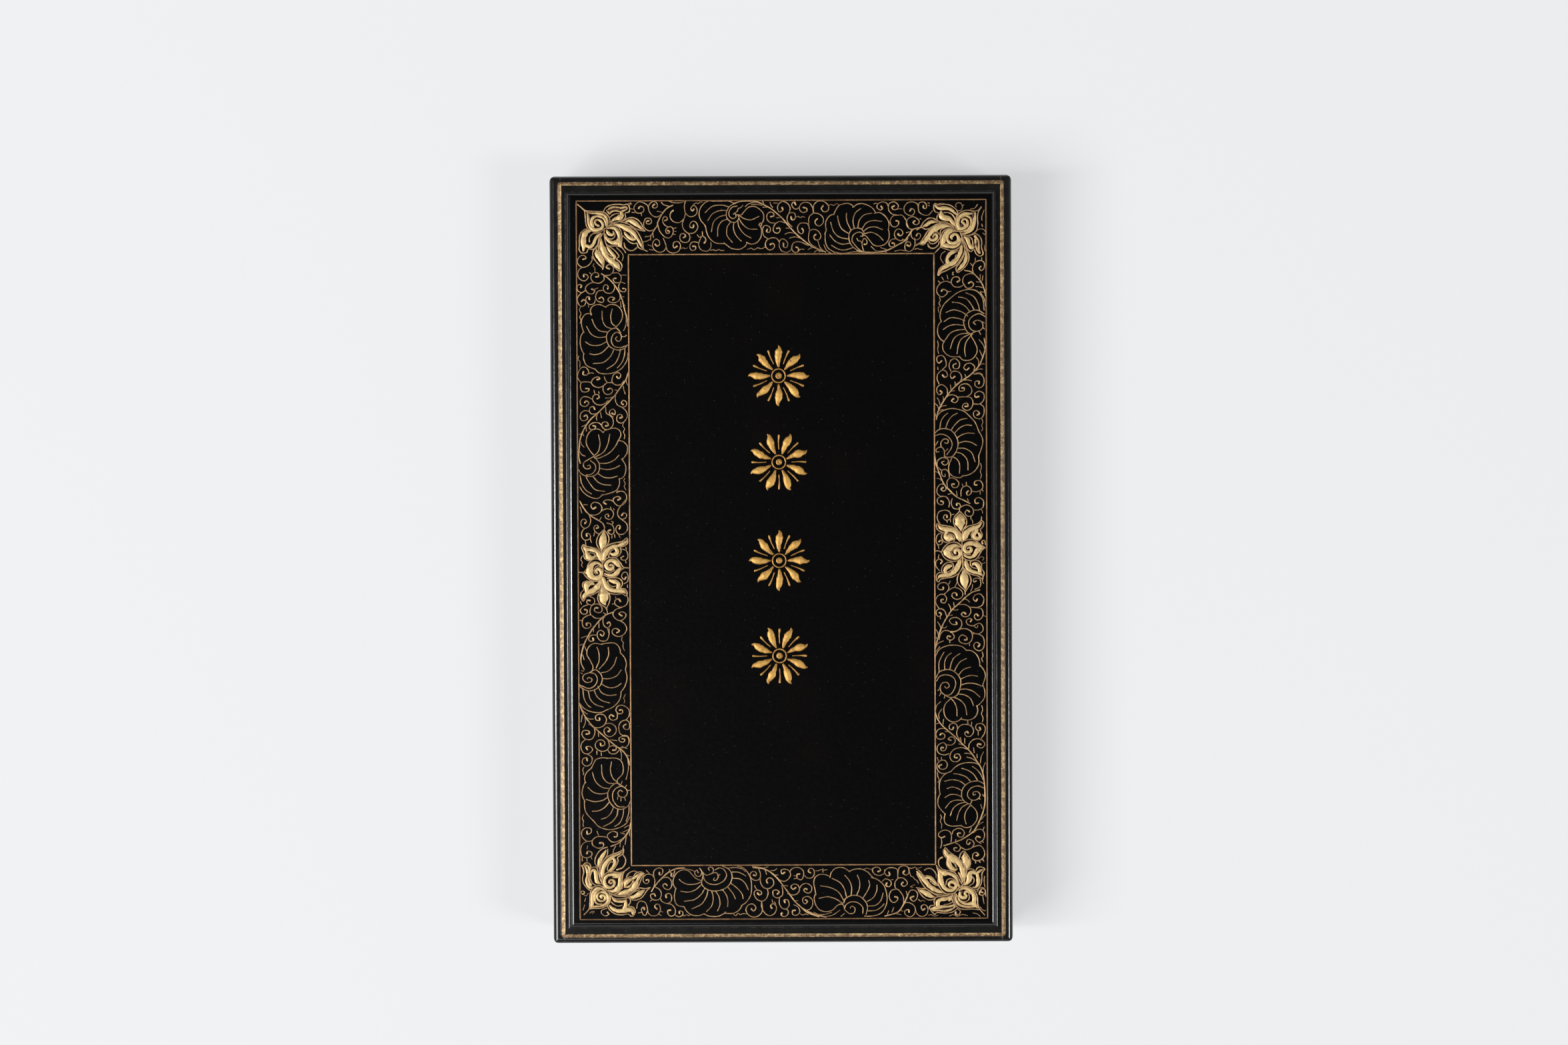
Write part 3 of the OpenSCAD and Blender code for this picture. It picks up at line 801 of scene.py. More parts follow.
# %% Border, bottom side
bottom_curls = [
    (-425, -1033, -7, 7, -16, 2, -11, -9, -1, -14, 9, -8, 9, 6, -2, 8, -6, -2), (-425, -1064, 3, 17,
    -3, 14, -1, 15, 5, 9, 14, 6, 11, -7, -3, -14, -8, -2, 0, 7), (-404, -1043, 10, 8, 15, 0, 10, -10,
    2, -17, -9, -12, -14, 3, -6, 11, 8, 5, 5, -5), (-421, -1066, 14, -8, 6, -15, -6, -16, -14, -4,
    -13, 6, -2, 12, 11, 3, 4, -7), (-405, -1103, 7, -11, 16, -6, 13, 8, 1, 17, -8, 8, -10, -4, 1, -9),
    (-382, -1120, 15, -4, 11, -15, -1, -16, -12, -7, -10, 7, -1, 11, 8, 2), (-356, -1158, 12, -6, 12,
    6, 0, 11, -10, 2, 0, -7), (-482, -1135, 2, 13, 9, 10, 16, -4, 7, -15, 4, -20, 12, -9, 17, 2, 10,
    15, -2, 17, -10, 4, -6, -8, 7, -8), (-446, -1143, -7, -15, -8, 2, -6, 17, 8, 7, 2, -7), (-357,
    -1013, -3, -11, -3, -8, -6, 3, 2, 7), (-661, -1088, -4, 7, 8, 3, 4, -6, -5, -4), (-580, -1135,
    -16, -6, -2, -10, 12, -9, 12, 5, -4, 7), (-81, -1010, 5, -14, -2, -15, -13, -7, -14, 7, -5, 13, 9,
    10, 11, -4, -1, -10, -7, 2), (-77, -1039, 2, -16, 11, -15, 17, -2, 14, 13, -2, 16, -12, 6, -9, -8,
    3, -9), (-53, -1074, 2, -15, -7, -17, -14, -8, -17, 8, -8, 17, 6, 11, 15, -2, 4, -9, -9, -4, -4,
    6), (-72, -1114, 0, -21, 12, -20, 17, -6, 15, 10, 4, 18, -9, 11, -10, -6, 4, -9), (-72, -1120, 2,
    -23, -8, -15, -19, -8, -19, 8, -8, 17, 8, 15, 15, 3, 10, -12, -8, -11, -7, 7), (-6, -1062, 3, -18,
    -2, -15, -15, -8, -13, 6, -2, 16, 11, 4, 9, -6, -5, -7), (-14, -1103, 0, -19, 9, -15, 14, -2, 9,
    13, -5, 16, -11, 0, 2, -8), (1, -1139, 12, -4, 1, -13, -11, -9, -11, 5, 2, 7), (-16, -1043, 17,
    -6, 15, 8, 7, 15, -8, 14, -16, 3, -7, -5, 3, -10, 8, 4), (23, -1026, -1, 12, 14, 10, 17, -1, 12,
    -11, 0, -17, -8, -11, -12, 5, -1, 12, 8, 2), (66, -1028, 12, -10, 15, 1, 8, 13, -4, 15, -11, 2,
    -5, -9, 7, -5), (13, -1089, 17, -5, 15, 5, 7, 13, -5, 14, -13, 4, -10, -8, 7, -9, 8, 5), (52,
    -1072, 9, 12, 15, 4, 15, -10, 0, -15, -11, -7, -13, 7, 2, 8, 7, -2), (72, -1145, 16, 6, 7, 15, -2,
    15, -13, 10, -15, -4, -3, -11, 8, -9, 8, 8, -6, 5), (34, -1126, 13, -7, 6, -16, -10, -11, -13, 2,
    -1, 12, 8, 2), (332, -1012, -3, -12, -14, -7, -17, 5, -7, 14, 9, 8, 13, -1, 5, -9, -8, -4), (375,
    -1020, -4, 10, -16, 5, -15, -3, -9, -12, 7, -11, 10, 1, -2, 9), (375, -1039, 0, 19, 5, 15, 16, 6,
    13, -7, 2, -16, -9, -8, -10, 6, 4, 8), (394, -1124, -2, 23, -13, 21, -12, 8, -2, 17, 10, 14, 15,
    2, 13, -10, 2, -11, -11, -7, -8, 7, 5, 6), (380, -1081, -11, 5, -16, -5, -7, -16, 4, -15, 11, -8,
    12, 8, 0, 9, -8, 2), (325, -1049, 9, 7, 14, -5, 5, -11, -7, -10, -10, 4, 2, 8), (405, -1095, 4, 6,
    8, 9, 13, 0, 9, -11, -3, -17, -11, -8, -10, 11, 11, 5), (396, -1122, 13, 2, 16, -8, 7, -15, -6,
    -17, -13, -7, -15, 9, 0, 11, 11, 4, 2, -8), (432, -1145, 6, -13, 15, -8, 16, 8, 4, 19, -10, 12,
    -12, -6, 4, -12, 7, 4), (634, -1085, 8, 11, 13, 1, 7, -12, -9, -12, -11, 4, 2, 9), (571, -1141, 8,
    -8, -4, -11, -10, 0, -1, 8),
]
bottom_lines = [
    (-450, -1011, 10, -11), (-438, -1112, 6, 4), (-477, -1151, 13, 3), (-404, -1145, 7, -3), (-332,
    -1158, 7, -3, 6, 4, 7, -3, 5, 2), (-410, -1155, 8, -4), (-375, -1008, 5, -12), (-351, -1007, 22,
    1, 24, -4, 15, -6), (-656, -1090, 8, -4, 7, 8), (-653, -1112, 4, 10), (-653, -1124, -5, -17),
    (-636, -1151, 8, 6, 7, -1, -7, -6), (-511, -1028, 6, 10, 15, 4, 10, -3), (-95, -1062, 3, -8, 5,
    -6), (-38, -1109, 3, -13), (-30, -1116, 4, -8), (-164, -1156, 7, -5, 7, 8, 8, -5, 8, 4, 12, -1),
    (34, -1030, 9, -2), (34, -1041, 9, 2), (105, -1014, 9, -1, 8, 4, 10, -2, 11, 2), (129, -1008, 0,
    -12), (55, -1156, 8, -4, 7, 4, 10, -3), (-60, -1012, 4, -14), (-43, -1014, 13, 1, 8, 6), (-31,
    -1028, 13, 0), (-1, -1062, 14, -2), (34, -1112, 13, -1), (-100, -1004, 24, -3, 25, 6), (99, -1151,
    16, -7, 19, 0, 23, 7), (128, -1165, 17, 1, 20, 6, 19, 14), (188, -1164, 11, 9), (255, -1010, 9, 0,
    9, 3, 9, -3, 10, 1), (413, -1020, 4, -13, 7, -3, 6, -8, 6, -3, 6, -10), (409, -1005, 11, -3, 10,
    4, 10, -4, 12, 4), (352, -1046, 7, 2), (417, -1068, 5, 4, 8, 2), (416, -1069, 8, -1), (402, -1083,
    2, -9), (442, -1110, 7, -6, 6, 3, 8, -4), (340, -1158, 4, 11), (355, -1151, 6, 15), (363, -1156,
    11, -1, 10, -3), (378, -1147, 6, 1, 6, -2), (475, -1162, 9, 2, 10, -5, 11, 3), (544, -1164, 12, 4,
    14, -6, 15, 6, 17, -3), (659, -1035, -2, -15, 3, -20), (653, -1101, 4, -23), (644, -1135, 8, -10,
    9, -3), (621, -1155, 13, -3, 10, -8), (519, -974, -10, -7, 0, -18, 10, -11), (461, -1014, 10, 6,
    15, -2, 12, -12, 2, -17), (618, -976, 8, -7, 14, -1, 11, 8), (630, -984, -1, -6), (641, -984, 3,
    -6), (650, -979, 6, -5),
]
bottom_stems = [
    (-433, -1080, 8, 14, 16, 19, 19, 19, 19, 14, 23, 9, 23, 2), (-101, -1001, 27, -4, 27, -11, 23,
    -19, 19, -23, 20, -27, 23, -31, 27, -23, 30, -16, 43, -12), (49, -1126, 27, -24, 39, -15), (332,
    -1164, 31, 8, 16, 9, 15, 23, 11, 23, 3, 10),
]
shell_bottom_a = [
    (-269, -1046, -17, 7, -12, 11, -13, 14, -19, 4, -20, -10, -11, -19, -1, -18, 9, -16), (-353,
    -1070, -5, -19, 1, -21, 9, -16, 23, -6), (-328, -1130, 11, -17, 16, -11, 23, -2, 18, 6), (-263,
    -1154, 19, -8, 27, -1, 19, 8, 8, 6), (-192, -1153, 26, 0, 19, 10, 11, 16), (-139, -1128, 17, 12,
    14, 23, 3, 27, -3, 27, -12, 23, -15, 13, -16, 4), (-199, -999, 19, -9, 11, -20, -5, -25, -19, -19,
    -31, -8, -27, 6, -17, 16, 2, 23, 4, 15), (-224, -1010, 14, 6, 15, -6, 8, -18, -10, -19, -23, -11,
    -23, 2, -15, 11, -6, 17), (-243, -1012, -4, 7, 10, 4, 7, -8, -3, -11, -18, -8, -9, 4), (-235,
    -1022, 15, 2, 6, -13, -8, -12, -8, 2, 3, 6), (-216, -1029, 7, 3), (-275, -1005, 7, -11, -5, -14,
    -11, -1, -8, 11, 8, 9, 4, -9), (-266, -1018, 2, -12, -4, -16), (-269, -1049, -17, -7, -27, -2,
    -21, 9, -8, 8), (-271, -1060, -19, -16, -23, -7, -24, 3), (-259, -1072, -12, -19, -23, -17, -32,
    -5), (-248, -1076, -5, -21, -16, -25, -32, -16), (-236, -1080, 5, -21, -5, -27, -17, -19), (-223,
    -1080, 11, -19, 3, -25, -8, -21), (-200, -1076, 12, -17, 5, -19, -1, -19), (-182, -1068, 16, -21,
    8, -17), (-172, -1055, 21, -17, 14, -17, 4, -16), (-167, -1038, 24, -3, 17, -14, 10, -21), (-171,
    -1018, 20, 0, 16, -6, 11, -7), (-180, -1005, 22, 2, 23, -5, 9, -8),
]
shell_bottom_b = [
    (153, -1034, -15, 6, -20, 1, -15, -10, -4, -18, 4, -23, 3, -16), (104, -1091, -4, -14, 5, -21, 13,
    -17, 22, -6, 21, 6, 13, 13, 14, 6, 9, -6, 2, -11), (152, -1037, 5, 17, 15, 14, 23, 1, 23, -13),
    (214, -1017, 20, 7, 23, 0, 23, -12), (197, -1120, 6, 14, 21, 10, 25, -3, 19, -17, 7, -19, -5,
    -23), (199, -1139, 6, 13, 17, 9, 21, -3, 16, -15, 0, -20), (201, -1144, 14, -11, 15, 2, 4, 14,
    -10, 8, -6, -6), (197, -1112, -17, 27, -27, 15, -32, 6), (206, -1101, -7, 27, -15, 21, -25, 13),
    (221, -1097, 2, 27, -8, 23, -14, 17), (240, -1095, 9, 25, 0, 21, -7, 19), (193, -1122, -21, 14,
    -27, 8, -29, -5), (276, -1019, 8, -9, 11, -12), (288, -1037, 21, -8, 20, -19, 9, -29, 0, -27, -9,
    -23, -16, -15, -27, -6, -21, 0), (261, -1103, 14, 22, 7, 19, -3, 15), (274, -1116, 20, 13, 11, 22,
    1, 19), (277, -1131, 25, 3, 17, 16, 7, 23), (276, -1147, 26, 2, 19, 12, 8, 9),
]
lay_border("bottom", bottom_curls, bottom_lines, bottom_stems,
           [shell_bottom_a, shell_bottom_b])


# %% [markdown]
# The left side is longer and has four shells, two above and two below the middle flower.

# %% Border, left side
left_curls = [
    (-617, 992, 0, -13, -12, -16, -19, -6, -14, 10, -2, 15, 11, 13, 13, -1, 3, -8, -9, -3), (-648,
    957, -11, -7, -5, -16, 7, -15, 15, -6, 12, 10, -3, 9, -11, 2, 0, -7), (-579, 929, 0, -14, -17,
    -10, -19, 6, -6, 16, 10, 12, 13, -1, 2, -11, -8, -1), (-596, 905, -21, 2, -17, -9, -5, -12, 9,
    -13, 15, -2, 6, 11, -9, 4), (-639, 882, -12, -7, -12, 5, -4, 12, 6, 9, 10, -3, -3, -6), (-651,
    875, -13, -14, -1, -15, 8, -14, 13, 0, 6, 14, -8, 6, -5, -5), (-607, 852, -4, -12, -15, -4, -11,
    12, 1, 11, 8, 2, 2, -8), (-546, 904, 2, -16, -11, -15, -18, 2, -8, 13, 6, 12, 10, -4, -1, -9),
    (-579, 882, -19, -3, -8, -16, 6, -15, 16, -5, 5, 8, -7, 9, -8, -4), (-526, 865, -2, -14, -14, -9,
    -17, 2, -7, 8, 9, 8, 13, -3, -5, -6), (-575, 930, 16, 2, 12, 14, -3, 15, -13, 4, -8, -8, 10, -5),
    (-551, 938, 19, 0, 10, -13, -4, -16, -16, -2, -6, 12, 8, 2), (-526, 907, -5, -13, 6, -14, 14, -3,
    4, 9, -9, 2), (-655, 582, -11, 16, 1, 15, 10, 17, 15, 2, 10, -13, -6, -12, -12, 2, 1, 9), (-621,
    582, -15, 3, -18, -3, -3, -16, 7, -13, 16, 0, 5, 9, -10, 1), (-554, 582, -17, -1, -11, -9, -14,
    -6, -17, 5, -8, 11, 6, 13, 15, 6, 6, -6, -8, -3), (-582, 572, -1, -15, 8, -12, 16, 0, 7, 12, -8,
    7, -7, -4), (-515, 587, -10, -11, -15, -2, -13, 9, 0, 14, 7, 13, 14, 4, 7, -9, -7, -10, -6, 6),
    (-619, 528, -13, 7, -16, 1, -10, -12, 3, -15, 15, -4, 10, 11, -8, 7, -5, -5), (-567, 524, -8, -8,
    -17, -7, -17, 5, -9, 14, 5, 13, 13, 2, 4, -9, -6, -4), (-628, 489, -16, 2, -13, -10, 0, -17, 11,
    -6, 12, 8, -4, 11, -7, -4), (-601, 482, -19, -2, -8, 9, 2, 12, 11, 3, 4, -8), (-588, 443, -10, 8,
    -19, 0, -12, -10, 3, -10, 13, -1, 5, 9, -8, 3), (-575, 501, 2, -18, 12, -8, 10, -13, -1, -19, -13,
    -13, -15, 1, -8, 11, 4, 11, 13, 0, 4, -10, -8, -2), (-551, 470, -8, 6, -4, 11, 10, 9, 9, -7, -2,
    -11, -8, 4), (-532, 557, -10, -14, -1, -19, 7, -15, 15, -8, 14, -14, 2, -17, -12, -17, -13, -2,
    -9, 9, 3, 16, 11, 2, 4, -8, -7, -3), (-521, 501, 12, 5, 2, 12, -10, 6, -7, -8, 6, -5), (-539, 225,
    18, 3, 12, -12, -1, -19, -11, -13, -15, -3, -14, 12, 0, 13, 14, 5, 8, -6, -8, -5), (-550, 194, -9,
    5, -16, 1, -9, -7, 8, -6), (-529, 228, -10, 0, -1, -5), (-630, 152, 19, -1, 17, 9, 5, 15, -9, 14,
    -17, 3, -10, -9, 6, -12, 9, 5), (-592, 163, 17, 8, 18, -4, 6, -15, -10, -15, -14, 3, -4, 10, 10,
    4, 1, -7), (-511, 200, -14, -17, -11, -16, -1, -17, 12, -13, 14, 5, 2, 12, -10, 3, -5, -7), (-525,
    137, 16, -14, 3, -19, -13, -15, -17, 0, -8, 15, 6, 13, 8, -2, -2, -9), (-573, 125, 16, -6, 7, -13,
    -2, -16, -11, -1, -7, 9, 8, 4), (-630, 150, 4, -17, -6, -18, -14, -7, -11, 9, 0, 14, 9, 7, 8, -7,
    -5, -7), (-646, 108, -9, -12, 0, -17, 11, -10, 16, 6, -2, 14, -10, 1, 1, -7), (-598, 132, 12, -9,
    5, -15, -7, -10, -13, -8, -12, 10, -2, 13, 10, 5, 4, -8, -6, -2), (-525, 40, 14, -5, 6, -14, -4,
    -15, -14, -2, -5, 7, 8, 5), (-517, -73, 11, 8, 1, 19, -6, 10, -10, -2, -5, -12, 9, -10, 5, 8),
    (-630, -115, 13, -6, 2, -14, -11, -8, -14, 7, 2, 9, 8, -1), (-638, -142, -15, -6, -9, -12, 7, -11,
    13, 0, 3, 11, -8, 3), (-628, -175, -2, 15, 7, 16, 18, 5, 13, -9, 1, -14, -10, -6, -14, 6, 2, 10,
    8, 0), (-578, -175, -16, -10, -19, 0, -15, 10, -18, -6, -9, -11, 2, -20, 13, -7, 12, 7, -2, 10,
    -12, 0, 1, -6), (-582, -179, -6, -13, 4, -18, 11, -7, 10, 9, -4, 10, -6, -4), (-509, -110, 4, -17,
    -8, -17, -19, -6, -16, 10, 1, 13, 11, 4, 6, -8), (-525, -150, -21, -8, -9, -13, 7, -15, 16, -8,
    15, 8, 5, 13, -13, 8, -10, -6, 9, -7), (-532, -194, 15, -10, 7, -17, -9, -17, -17, -8, -19, 8, -2,
    13, 11, 6, 12, -8, -8, -6), (-609, -241, -17, 0, -9, -12, 6, -8, 10, 3, -2, 7), (-568, -220, 0,
    -19, -8, -19, -18, -2, -11, 11, -1, 16, 10, 8, 12, -8, -5, -11, -7, 5), (-625, -539, 18, -5, 19,
    7, 10, 17, -6, 16, -16, 5, -13, -6, 1, -13, 12, -1, -1, 7), (-580, -530, 17, 0, 15, -11, 0, -19,
    -17, -13, -17, 7, -4, 16, 11, 8, 9, -9, -6, -5), (-513, -518, 10, 15, -2, 19, -18, 13, -17, -2,
    -7, -14, 9, -11, 13, 3, -2, 10, -7, -1), (-542, -497, -2, -17, -15, -5, -10, 9, 6, 9, 8, -5),
    (-513, -518, 10, -10, -1, -19, -13, -2, -6, 10, 8, 6), (-513, -518, -17, -6, -8, -17, 4, -21, 9,
    -8, -12, -8, 3, -11, 13, -1, 2, 9, -7, 1), (-536, -610, 23, 4, 9, 17, -5, 17, -16, 2), (-619,
    -541, 3, -19, -10, -20, -20, -1, -12, 13, 3, 14, 17, 1, 4, -9, -10, -2), (-646, -581, -13, -12,
    -3, -16, 9, -17, 17, -2, 12, 12, -8, 11, -13, -2, 4, -8), (-642, -629, 16, -12, -4, -21, -16, -7,
    -12, 11, 3, 13, 11, 3, 2, -9), (-573, -585, 4, -16, -7, -15, -18, -5, -17, 9, -4, 15, 11, 13, 16,
    -2, 4, -13, -12, -4, -2, 8), (-538, -618, -10, -10, -17, 0, -9, 14, 11, 11, 15, -2, 0, -11, -9,
    -1), (-626, -913, -18, -2, -15, 14, -2, 17, 11, 12, 18, -1, 2, -13, -12, -6, -2, 9), (-576, -903,
    -18, 3, -19, -1, -13, -12, 1, -15, 18, -10, 17, 6, -2, 11, -10, 0), (-521, -902, -23, -14, -19,
    -1, -13, 14, 1, 11, 16, 9, 14, -5, -1, -12, -8, -1), (-644, -915, -15, -10, -6, -19, 4, -19, 15,
    -6, 16, 6, 1, 12, -13, 3, -2, -7), (-525, -959, 8, -19, -9, -22, -20, -9),
]
left_lines = [
    (-625, 940, 7, -7), (-608, 886, 10, 4), (-611, 968, -3, -7, 6, -5, 0, -14), (-655, 829, -4, -11,
    5, -12, -4, -11, 4, -9, -3, -11), (-630, 833, 1, -5), (-536, 1020, 15, -15, 6, -13, -4, -14),
    (-522, 931, 16, 0), (-525, 910, 15, -6), (-521, 860, 7, 1), (-525, 845, 2, -18), (-515, 751, 8,
    20, 0, 24, -3, 15), (-502, 790, 2, -20), (-513, 835, 3, -3), (-629, 611, 7, 3, 8, -2), (-662, 669,
    -3, -11, 7, -8, -1, -17), (-579, 601, 3, -9, 6, -9), (-575, 532, 13, 0, 14, 5), (-544, 558, 11,
    -2), (-517, 570, 2, -12, 4, -13), (-506, 595, -1, -10, 4, -11), (-603, 476, -3, -8, 2, -8), (-592,
    485, 3, -17), (-653, 439, 13, 6), (-640, 440, 2, -16), (-661, 414, 11, 2), (-653, 420, 6, -11),
    (-657, 389, 4, -10, 7, -7), (-661, 359, 7, -11, 11, -5), (-613, 557, 3, -12), (-598, 553, 2, -6),
    (-517, 451, -3, -9, 6, -10, -3, -11, 4, -11, -2, -11), (-514, 270, -3, -8, 5, -8, -4, -10, 6,
    -12), (-660, 177, 5, -19), (-648, 185, 12, -1), (-561, 177, 2, -9), (-551, 172, 2, -5), (-558,
    130, 6, -3, -3, -5), (-557, 85, 0, -10), (-548, 87, 1, -10), (-534, 85, 4, -8), (-628, 73, 4,
    -12), (-644, 67, 2, -13), (-613, 98, -3, -15), (-598, 132, 6, 11), (-511, 46, 1, -8), (-513, 4, 2,
    -10), (-507, -77, 0, -9), (-655, 17, -4, -11, 5, -10, -3, -8, 4, -7), (-661, -131, 3, -9), (-575,
    -150, 2, -19), (-663, -192, 8, -3), (-586, -168, 9, -6), (-573, -217, 4, -18), (-557, -140, 9, 2),
    (-546, -116, 1, -5), (-619, -212, 0, -17), (-601, -196, 0, -21), (-669, -35, 15, 0), (-518, -20,
    17, -2), (-659, -250, 19, 7), (-663, -274, 10, 4), (-619, -220, 0, -10), (-648, -278, 6, -15),
    (-655, -305, 5, -16), (-525, -247, -2, -11, 6, -8, -2, -12, 5, -14), (-659, -357, 7, -1), (-661,
    -364, 5, -3), (-661, -474, 7, -15, 14, -10), (-657, -501, -4, -23), (-648, -508, 1, -17, -7, -18),
    (-646, -508, 12, -7, 13, 0), (-636, -532, 10, -5), (-605, -555, 1, -17), (-565, -583, 21, -3),
    (-536, -612, 6, -16, 0, -19), (-521, -622, 8, -10, 9, -4), (-528, -605, 17, -7), (-516, -435, -5,
    -12, 3, -8, -2, -8), (-610, -620, 0, -11), (-596, -624, 1, -11), (-542, -769, -1, -9), (-532,
    -773, 0, -11), (-520, -772, 3, -10), (-530, -727, 2, 8), (-517, -737, 4, 5), (-510, -750, 8, 2),
    (-509, -642, 2, -36, -8, -35), (-653, -673, -4, -9, 3, -8, -1, -8), (-655, -828, -4, -12, 4, -10,
    -2, -10, 2, -7), (-611, -882, 5, -14), (-521, -871, 15, 8), (-526, -886, 17, 8), (-505, -879, 1,
    -19), (-515, -898, -4, -28), (-534, -913, -2, -21), (-660, -966, 0, -14), (-645, -971, 1, -9),
    (-632, -965, 4, -9), (-642, -930, -2, -10), (-550, -932, -6, -10, -3, -13), (-524, -930, -4, -15),
    (-534, -888, 14, -4),
]
left_stems = [
    (-586, 936, 19, -13, 17, -16, 14, -19, 11, -21, 8, -23, 6, -27, 7, -23, 4, -29), (-500, 616, -9,
    -25, -16, -23, -23, -31, -27, -28, -26, -26, -24, -21, -19, -27, -13, -30, -5, -31, -2, -31, 5,
    -23), (-661, 196, 13, -23, 18, -21, 32, -20), (-557, -167, -21, -8, -18, -15, -21, -25, -19, -27),
    (-623, -220, -13, -23, -15, -31, -8, -31, -1, -26, 10, -22), (-667, -464, 15, -35, 24, -34, 27,
    -25, 26, -23, 27, -22, 23, -17, 16, -23, 7, -23), (-500, -855, -5, -23, -16, -24, -19, -19, -25,
    -11),
]
shell_left_1 = [
    (-620, 802, -3, 17, 10, 13, 19, 4, 22, -9), (-574, 828, 17, 8, 21, -4, 15, -17, 2, -21, -9, -19,
    -12, -12), (-620, 807, -20, -3, -12, -18, 1, -23, 7, -18), (-646, 748, -9, -16, -2, -23, 6, -23,
    7, -10), (-646, 678, 0, -19, 10, -21, 28, -13), (-610, 627, 16, -14, 31, -2, 27, 8, 19, 15, 14,
    25, 2, 19), (-524, 743, -14, 16, -21, -6, -12, -17, 2, -21, 10, -17, 23, -10, 21, 4, 13, 13),
    (-507, 702, -18, -6, -21, 4, -9, 17, 4, 19, 15, 10, 13, -10, -2, -15, -9, -5, -8, 9, 5, 6), (-520,
    732, 7, -1, 7, 5), (-538, 760, 6, -8), (-540, 764, -13, 11, -4, 23, 5, 23), (-553, 757, -20, 8,
    -11, 21, -1, 29), (-567, 746, -27, 5, -15, 16, -9, 21), (-571, 731, -27, -2, -23, 11, -15, 25),
    (-571, 715, -23, -11, -27, 0, -19, 11), (-565, 700, -21, -20, -23, -7, -17, 3), (-546, 692, -13,
    -25, -23, -19, -33, -4), (-526, 691, -4, -20, -14, -27, -27, -18), (-511, 695, -2, -24, -8, -23,
    -15, -18),
]
shell_left_2 = [
    (-613, 344, -15, 18, -11, 23, 3, 23, 13, 18, 22, 5, 18, -11), (-588, 423, 5, -4, 2, 5, 14, 6, 21,
    4, 16, -8, 4, -16, -9, -18), (-535, 394, 18, -5, 12, -15, -2, -23, -16, -21), (-523, 334, 12, -22,
    0, -21, -8, -17, -14, -7), (-531, 270, -1, -21, -10, -18, -21, -9, -27, -7), (-586, 218, -17, -13,
    -25, 5, -22, 16, -11, 17), (-534, 394, -12, -22, -21, -21, -33, -15, -14, 4), (-615, 341, 15, -17,
    4, -18, -5, -17, -16, -11, -23, 0, -17, 9, -8, 12), (-613, 343, -19, -11, -15, -10, -1, -13, 10,
    -8, 12, 4, -3, 9, -6, -3), (-625, 328, 14, -12, 2, -15, -12, -16, -19, -4), (-613, 345, 13, 13, 6,
    27, -5, 27), (-609, 341, 25, 14, 15, 26, 7, 33), (-598, 319, 27, 1, 23, 10, 15, 15), (-596, 303,
    25, -4, 23, 4, 18, 9), (-601, 286, 19, -12, 23, -2, 21, 6), (-617, 276, 16, -18, 19, -8, 23, -2),
    (-640, 274, 14, -23, 17, -18, 29, -5), (-660, 281, 5, -26, 13, -22, 19, -13),
]
shell_left_3 = [
    (-626, -360, 5, 15, -9, 21, -11, 21, 5, 22, 19, 13, 27, -4), (-594, -270, 23, 3, 23, -1, 14, -15,
    3, -17), (-532, -298, 15, -18, 5, -19, -3, -19), (-515, -352, 5, -29, -7, -27, -13, -19), (-529,
    -425, -5, -26, -17, -21, -25, -14), (-574, -484, -24, -10, -30, 3, -23, 11, -16, 18), (-632, -363,
    19, 9, 17, -14, 5, -15, -5, -20, -17, -15, -23, -5, -21, 9, -10, 9), (-632, -363, -18, -7, -5,
    -13, 11, -12, 16, 2, 3, 9, -11, 5, -4, -5), (-632, -363, 17, -5, 8, -17, -8, -20, -19, -10, -21,
    7, -10, 5), (-611, -349, 10, 25, -1, 27, -6, 17), (-600, -351, 20, 23, 10, 23, -1, 24), (-594,
    -364, 23, 6, 18, 19, 9, 25), (-591, -383, 24, 0, 23, 9, 15, 19), (-595, -400, 24, -12, 23, 1, 19,
    12), (-605, -408, 11, -20, 23, -10, 25, 2), (-617, -422, 8, -19, 17, -14, 25, -8), (-637, -424, 7,
    -27, 17, -17, 25, -8), (-655, -416, 4, -31, 11, -21, 11, -9),
]
shell_left_4 = [
    (-546, -721, 5, 10, 15, 17, 2, 23, -8, 20, -19, 8, -27, -1), (-574, -643, -20, 1, -19, -6, -10,
    -17, -6, -11), (-626, -674, -18, -16, -7, -19, 4, -15), (-649, -721, -8, -21, -2, -21, 9, -22),
    (-652, -782, 1, -23, 7, -20, 22, -24), (-624, -846, 19, -21, 30, -10, 31, 4, 27, 14, 14, 23),
    (-525, -736, -21, 11, -19, -13, -10, -21, 4, -23, 16, -21, 23, -8, 23, 11, 8, 16), (-521, -803,
    -21, 2, -15, 19, -2, 23, 11, 17, 18, 6, 15, -8, 4, -15, -10, -12, -15, 2, -6, 12, 8, 9, 7, -5),
    (-545, -719, 10, -14), (-546, -721, -13, 14, -7, 25, 4, 27), (-555, -726, -21, 3, -16, 22, -3,
    36), (-571, -743, -23, 5, -21, 19, -10, 29), (-575, -757, -23, -3, -23, 5, -19, 16), (-575, -771,
    -19, -11, -27, -3, -25, 7), (-571, -788, -15, -17, -19, -10, -21, -2), (-557, -805, -8, -18, -13,
    -13, -18, -7), (-542, -811, -4, -21, -17, -21, -27, -14), (-523, -809, -3, -23, -10, -23, -17,
    -12), (-505, -801, -2, -24, -8, -25),
]
lay_border("left", left_curls, left_lines, left_stems,
           [shell_left_1, shell_left_2, shell_left_3, shell_left_4])


# %% [markdown]
# The right side again has four shells, but the vine swings the other way round.

